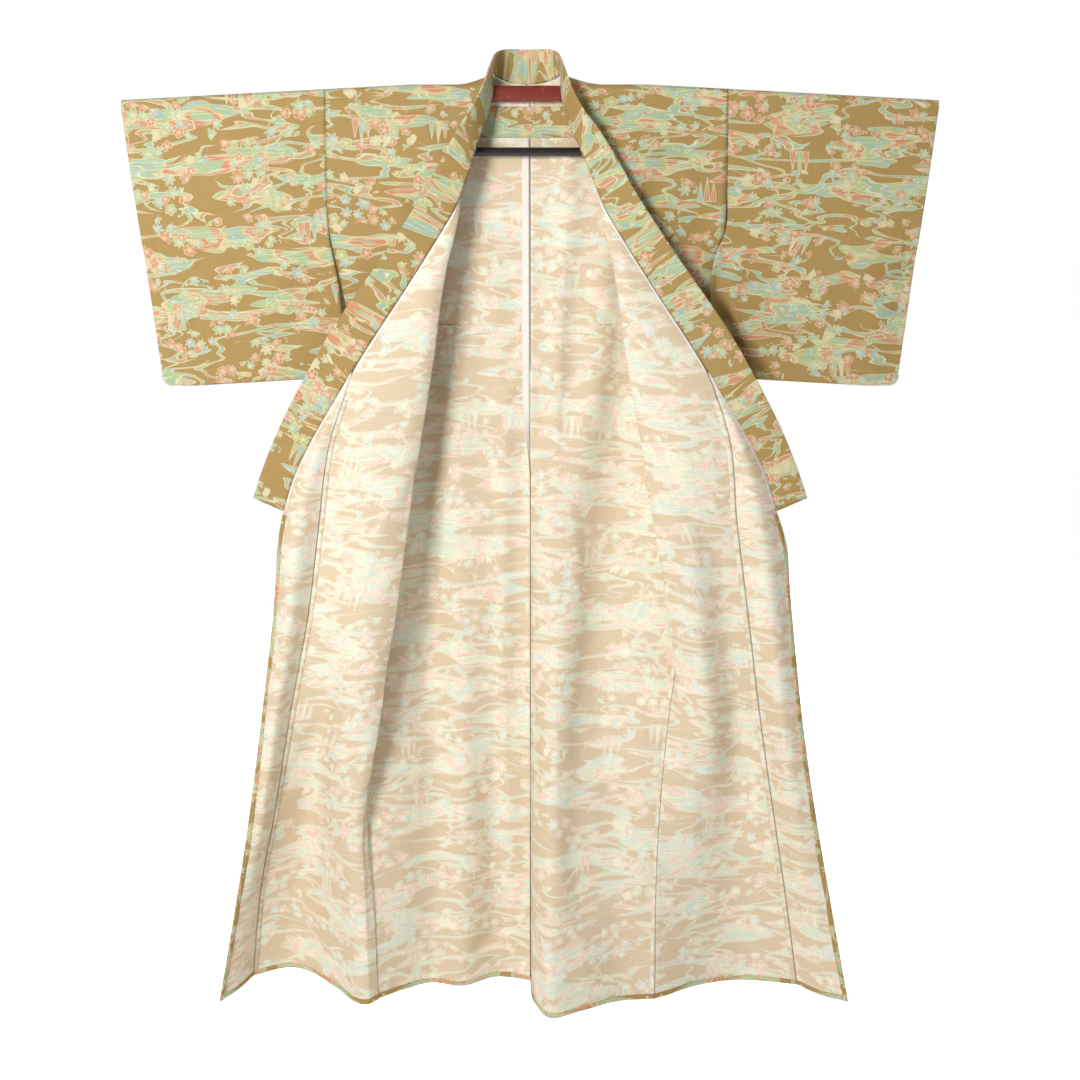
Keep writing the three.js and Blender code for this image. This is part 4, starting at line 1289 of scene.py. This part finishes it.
def sleeve_point(side, place, level, layer, fold=0.0):
    """Points of a sleeve: place runs from the armhole to the cuff, level from the shoulder fold to the bottom
    edge, layer is -1 for the front and 1 for the back, and fold turns the bottom edge under."""
    edge = SLEEVE_EDGE[side](np.maximum(EDGE_TOP, -FOOT.inner * level))
    inner, inner_y = (edge.frontX, edge.frontY) if layer < 0 else (edge.backX, edge.backY)
    x = lerp(inner + SEAM_GAP / 2, ARM_END - CUFF_LEAN * level, place)
    top = top_z(lerp(armhole_x(side), ARM_END, place)) - WRAP
    reach = (ARM_END - CUFF_LEAN - x) / FOOT.round
    corner = np.where(reach < 1, FOOT.round * (1 - np.sqrt(np.maximum(0, 1 - (1 - reach) ** 2))), 0)
    foot = lerp(FOOT.inner, FOOT.outer, place) + corner + FOOT.fold
    bulge = SLEEVE.bulge * np.sin(np.pi * np.minimum(1, 2 * level))
    hang = lerp(WRAP + bulge, FOOT.fold, ease((level - 0.1) / 0.9))
    soft = SLEEVE.puff * np.sin(np.pi * place) * np.sin(np.pi * level)
    shut = ease((place - 0.82) / 0.17) * ease((level - CUFF_OPEN) / 0.1)
    opened = lerp(hang + soft, SLEEVE.shut, shut)
    sway = SLEEVE.cuff_sway * level * place - SLEEVE.body_sway * level * (1 - place)
    free = ease(place / SLEEVE.free_from)
    y = lerp(inner_y, layer * opened + sway, free)
    middle = lerp((edge.frontY + edge.backY) / 2, sway, free)
    drop = np.minimum(np.maximum(opened, SLEEVE.least_turn), FOOT.fold) * np.sin(fold)
    corner_share = np.clip(1 - reach, 0, 1)
    z = lerp(top, foot, level) - drop * np.sqrt(1 - corner_share**2)
    return np.stack([side * (x + drop * corner_share), middle + (y - middle) * np.cos(fold), z], axis=-1)


def sleeve_grid(side):
    """The sleeve's rings, one for each place from the armhole to the cuff, open along the bottom fold."""
    places = np.concatenate([np.linspace(0, 0.9, 60), np.linspace(0.905, 1, 16)])
    levels = np.linspace(0.012, 1, 96)
    angles = np.linspace(180, 0, 13)
    turns = np.radians([22.5, 45, 67.5, 90])
    inner = armhole_x(side) + SEAM_GAP / 2
    rings = []
    for place in places:
        bottom = [[sleeve_point(side, place, np.ones(1), layer, turn)[0] for turn in turns] for layer in (-1, 1)]
        front, back = sleeve_point(side, place, levels[::-1], -1), sleeve_point(side, place, levels, 1)
        bend = over_bar(side * lerp(inner, ARM_END, place), angles)
        rings.append(np.concatenate([bottom[0][::-1], front, bend, back, bottom[1]]))
    return np.array(rings), len(turns) + len(levels) + len(angles) // 2


class KIMONO_OT_sleeves(bpy.types.Operator):
    """Hang the two square sleeves, flat tubes over the ends of the bar."""

    bl_idname = "kimono.sleeves"
    bl_label = "Sleeves"

    def execute(self, context):
        strength = context.scene.kimono_cloth.crease_strength * SLEEVE_CREASING
        for word, side in SIDES.items():
            rings, top = sleeve_grid(side)
            across = running(rings, axis=0)
            round_it = running(rings, axis=1)
            down = round_it - round_it[:, top : top + 1]
            wrinkled = creased(rings, across, down, SLEEVE_CREASES[side], side * strength)
            rings = lerp(rings, wrinkled, ease(across / SEWN_FLAT)[..., None])
            made = sheet(
                f"sleeve_cloth_{word}", rings, CUT.sleeve + side * (700 + across), down, across, side == LEFT,
                node=f"sleeve_{word}", closed=True,
            )
        return {"FINISHED"}


COLLAR_COUNT = 14  # columns across each face of the collar
COLLAR_FOLD = 1.3  # half the thickness of the folded collar
COLLAR_SEWN = 0.45  # the same at its seam


class KIMONO_OT_collar(bpy.types.Operator):
    """Fold the long collar band double round the neck and down both fronts, with square ends."""

    bl_idname = "kimono.collar"
    bl_label = "Collar"

    def execute(self, context):
        halves = drape()
        rungs = halves[RIGHT].rungs[::-1] + halves[LEFT].rungs[1:]
        rungs, places, _ = finer(rungs, context.scene.kimono_cloth.row_step / MM)
        seam, free = rungs[:, 0], rungs[:, 1]
        across = unit(free - seam)
        wide = np.linalg.norm(free - seam, axis=1)
        face = unit(np.cross(np.gradient((seam + free) / 2, axis=0), across))
        puff = 0.35 + 0.65 * ease(np.minimum(places, places[-1] - places) / 9)
        bend = np.radians(np.linspace(90, -90, 7))[1:-1]
        # Across the folded band: the share of its width, the lift from its middle and the way past its width
        shares = np.linspace(0, 1, COLLAR_COUNT + 1)
        section = [(share, lerp(COLLAR_SEWN, COLLAR_FOLD, ease(share / 0.3)), 0) for share in shares]
        turned = [(1, COLLAR_FOLD * math.sin(b), COLLAR_FOLD * math.cos(b)) for b in bend]
        section = section + turned + [(share, -lift, out) for share, lift, out in section[::-1]]
        points = [
            seam + across * ((wide - COLLAR_FOLD) * share + out)[:, None] + face * (lift * puff)[:, None]
            for share, lift, out in section
        ]
        points = np.stack(points, axis=1)
        over, down = measured(points, places)
        edge = np.minimum(over, over[:, -1:] - over)
        made = sheet("collar_cloth", points, over + CUT.collar, down, edge, True, node="collar")
        return {"FINISHED"}


PATCH = SimpleNamespace(half=150, depths=[24, 40, 58, 75, 86])
# Between the depths in turn, the tape turns up on its edge.
TAPE = SimpleNamespace(width=12.5, low_width=4.5, first=90, edge=1.6, turn=(520, 700), turned=1.9)
TUCK = SimpleNamespace(top=404, foot=440, inner_foot=415, first=16, last=296, bow=2.2, lift=0.62)
LAID_ON = 0.9  # between the middles of two sheets that lie on each other
SEWN_IN = 1.5  # stitches lie this far inside an edge


def on_back(laid, side, depth, x, clearance=LAID_ON):
    """Points on the inner side of the back, at a depth and distances from the centre seam."""
    rows, depths = laid.points[laid.back], laid.depth[laid.back]
    place = np.interp(-depth, -depths, np.arange(len(depths)))
    i = min(int(place), len(rows) - 2)
    row = lerp(rows[i], rows[i + 1], place - i)[::-1]
    reach = np.abs(row[:, 0])

    def at(distance):
        return np.stack([np.interp(distance, reach, row[:, k]) for k in range(3)], axis=-1)

    slope = unit(at(x + 2) - at(x))
    inward = np.stack([side * slope[:, 1], -side * slope[:, 0], 0 * slope[:, 0]], axis=-1)
    return at(x) + inward * clearance


def patch_rows(right, left):
    x = np.linspace(1, PATCH.half, 26)
    return [
        np.concatenate([on_back(right, RIGHT, depth, x)[::-1], on_back(left, LEFT, depth, x)])
        for depth in PATCH.depths
    ]


def tuck_rows(back, side):
    """The tuck hangs from its top; its foot slants up to the centre seam and stands off here and there."""
    x = np.linspace(TUCK.first, TUCK.last, 57)
    depths = np.linspace(TUCK.top, TUCK.foot, 13)
    laid = np.array([on_back(back, side, depth, x, TUCK.lift) for depth in depths])
    foot = lerp(TUCK.inner_foot, TUCK.foot - 3, ease((x - TUCK.first) / 190)) + 3 * np.sin(x / 23)
    rows = []
    for share in np.linspace(0, 1, 7):
        wanted = lerp(TUCK.top, foot, share)
        row = np.array([[np.interp(w, depths, laid[:, i, k]) for k in range(3)] for i, w in enumerate(wanted)])
        row[:, 1] -= TUCK.bow * share**2 * (1 + np.sin(x / 11.8)) * ease((x - TUCK.first) / 60)
        rows.append(row)
    return rows


def tape_rows(right):
    rows = []
    for depth in [TAPE.first, *[d for d in DEPTHS if d > TAPE.first + 10]]:
        inner, outer = on_back(right, RIGHT, depth, np.array([TAPE.edge, TAPE.edge + TAPE.width]))
        share = ease((depth - TAPE.turn[0]) / (TAPE.turn[1] - TAPE.turn[0]))
        x, y, _ = unit((outer - inner) * [1, 1, 0])
        c, s = math.cos(share * TAPE.turned), math.sin(share * TAPE.turned)
        flat = np.array([c * x - s * y, s * x + c * y, 0]) * lerp(TAPE.width, TAPE.low_width, share)
        rows.append(inner + flat * np.linspace(0, 1, 6)[:, None])
    return rows


class KIMONO_OT_inside(bpy.types.Operator):
    """Lay the neck patch, the seam tape and the waist tuck on the inside of the back."""

    bl_idname = "kimono.inside"
    bl_label = "Inside pieces"

    def execute(self, context):
        cloth = context.scene.kimono_cloth
        backs = {side: body_sheet(side, cloth.row_step / MM, cloth.crease_strength) for side in (RIGHT, LEFT)}
        patch = finer(patch_rows(backs[RIGHT], backs[LEFT]), 3)
        self.lay("shoulder_patch_cloth", "shoulder_patch", patch, (0.30, 0.065), True, crepe(False), [-1])
        for word, side in SIDES.items():
            tuck = finer(tuck_rows(backs[side], side), 3)
            names = f"waist_tuck_cloth_{word}", f"waist_tuck_{word}"
            self.lay(*names, tuck, (0.285, 0.036), side == LEFT, crepe(True), [0], 0.0085)
        names = "back_seam_tape_cloth", "back_seam_tape"
        tape = finer(tape_rows(backs[RIGHT]), 6)
        self.lay(*names, tape, (0.0125, 1.56), True, white_tape(), [0, -1], 0.0117, "white_tape")
        return {"FINISHED"}

    def lay(self, name, node, made, flat, flip, face, sewn, area=None, slot=CREPE):
        """Lays a piece on the back, sewn along some of its edges: rows of the crepe, columns of the tape."""
        points, places, _ = made
        across, down = measured(points, places)
        made = sheet(name, points, across + CUT.laid, down, UNSEWN, flip, [face], node)
        for i, line in enumerate(sewn):
            edge, inward, up = frames_along(points, line, slot != CREPE)
            up = -up if normals_of(points)[0, 0, 1] > 0 else up
            seam = edge + inward * SEWN_IN + up * 0.4
            stitches(f"{name}_stitches_{i}", seam, up, SILK if slot == CREPE else COTTON)


class KIMONO_OT_hanger(bpy.types.Operator):
    """Lacquer the hanger bar and the rod under it."""

    bl_idname = "kimono.hanger"
    bl_label = "Hanger"

    def execute(self, context):
        finishes = {
            "hanger_bar": lacquer("Red lacquer", "#7d2a1e", "#9a5a44"),
            "obi_bar": lacquer("Black lacquer", "#1d1a19", "#4a4541"),
        }
        for name, finish in finishes.items():
            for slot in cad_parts[name].material_slots:
                slot.material = finish
        return {"FINISHED"}


# Name, place and size of each lamp, with the setting of its power, and the point they are turned to, in metres.
LAMPS = [("key", (-1.3, -2.75, 0.35), 0.8, "key_power"), ("behind", (2.0, 2.9, 0.8), 2.0, "back_power")]
LIT = (0, 0, -0.7)


class KIMONO_OT_stage(bpy.types.Operator):
    """Set the camera, the soft lights and the pale floor."""

    bl_idname = "kimono.stage"
    bl_label = "Stage"

    def execute(self, context):
        stage, scene = context.scene.kimono_stage, context.scene
        camera = link("camera", bpy.data.cameras.new("camera"))
        camera.data.lens = stage.lens
        camera.data.sensor_width = 36
        camera.location = stage.eye
        camera.rotation_euler = (math.pi / 2 - stage.tilt, 0, 0)
        scene.camera = camera
        scene.view_settings.view_transform = "Standard"

        bm = bmesh.new()
        bmesh.ops.create_circle(bm, cap_ends=True, segments=96, radius=40)
        bmesh.ops.translate(bm, verts=bm.verts, vec=(0, 0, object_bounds()[0].z - stage.floor_drop))
        mesh = mesh_from(bm, "floor")
        mesh.materials.append(pale_floor())
        link("floor", mesh)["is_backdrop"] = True

        for name, place, size, power in LAMPS:
            light = bpy.data.lights.new(name, "AREA")
            light.size = size
            light.energy = getattr(stage, power)
            lamp = link(name, light)
            lamp.location = place
            lamp.visible_camera = False
            lamp.rotation_euler = (Vector(LIT) - Vector(place)).to_track_quat("-Z", "Y").to_euler()
        world = bpy.data.worlds.new("studio")
        scene.world = world
        world.use_nodes = True
        g = Graph(world.node_tree)
        around = world.node_tree.nodes["Background"].inputs
        g.feed(around["Color"], (1, 1, 1))
        g.feed(around["Strength"], g.largest(g.out("LightPath", output="Is Camera Ray"), stage.fill))
        return {"FINISHED"}


OPERATORS = [
    KIMONO_OT_stage,
    KIMONO_OT_body,
    KIMONO_OT_front_bands,
    KIMONO_OT_sleeves,
    KIMONO_OT_collar,
    KIMONO_OT_inside,
    KIMONO_OT_hanger,
]
SETTINGS = {
    "kimono_cloth": KimonoClothSettings,
    "kimono_print": KimonoPrintSettings,
    "kimono_stage": KimonoStageSettings,
}


class KIMONO_PT_panel(bpy.types.Panel):
    """Lists the garment's operators and settings"""

    bl_label = "Kimono"
    bl_space_type = "VIEW_3D"
    bl_region_type = "UI"
    bl_category = "Kimono"

    def draw(self, context):
        for operator in OPERATORS:
            self.layout.operator(operator.bl_idname)
        for group in SETTINGS:
            settings = getattr(context.scene, group)
            box = self.layout.box()
            for name in settings.__annotations__:
                box.prop(settings, name)


def register():
    for c in [*SETTINGS.values(), *OPERATORS, KIMONO_PT_panel]:
        bpy.utils.register_class(c)
    for name, c in SETTINGS.items():
        setattr(bpy.types.Scene, name, PointerProperty(type=c))


def unregister():
    for name in SETTINGS:
        delattr(bpy.types.Scene, name)
    for c in [KIMONO_PT_panel, *OPERATORS, *SETTINGS.values()]:
        bpy.utils.unregister_class(c)


def main():
    register()
    for operator in OPERATORS:
        group, name = operator.bl_idname.split(".")
        getattr(getattr(bpy.ops, group), name)()


if __name__ == "__main__":
    main()
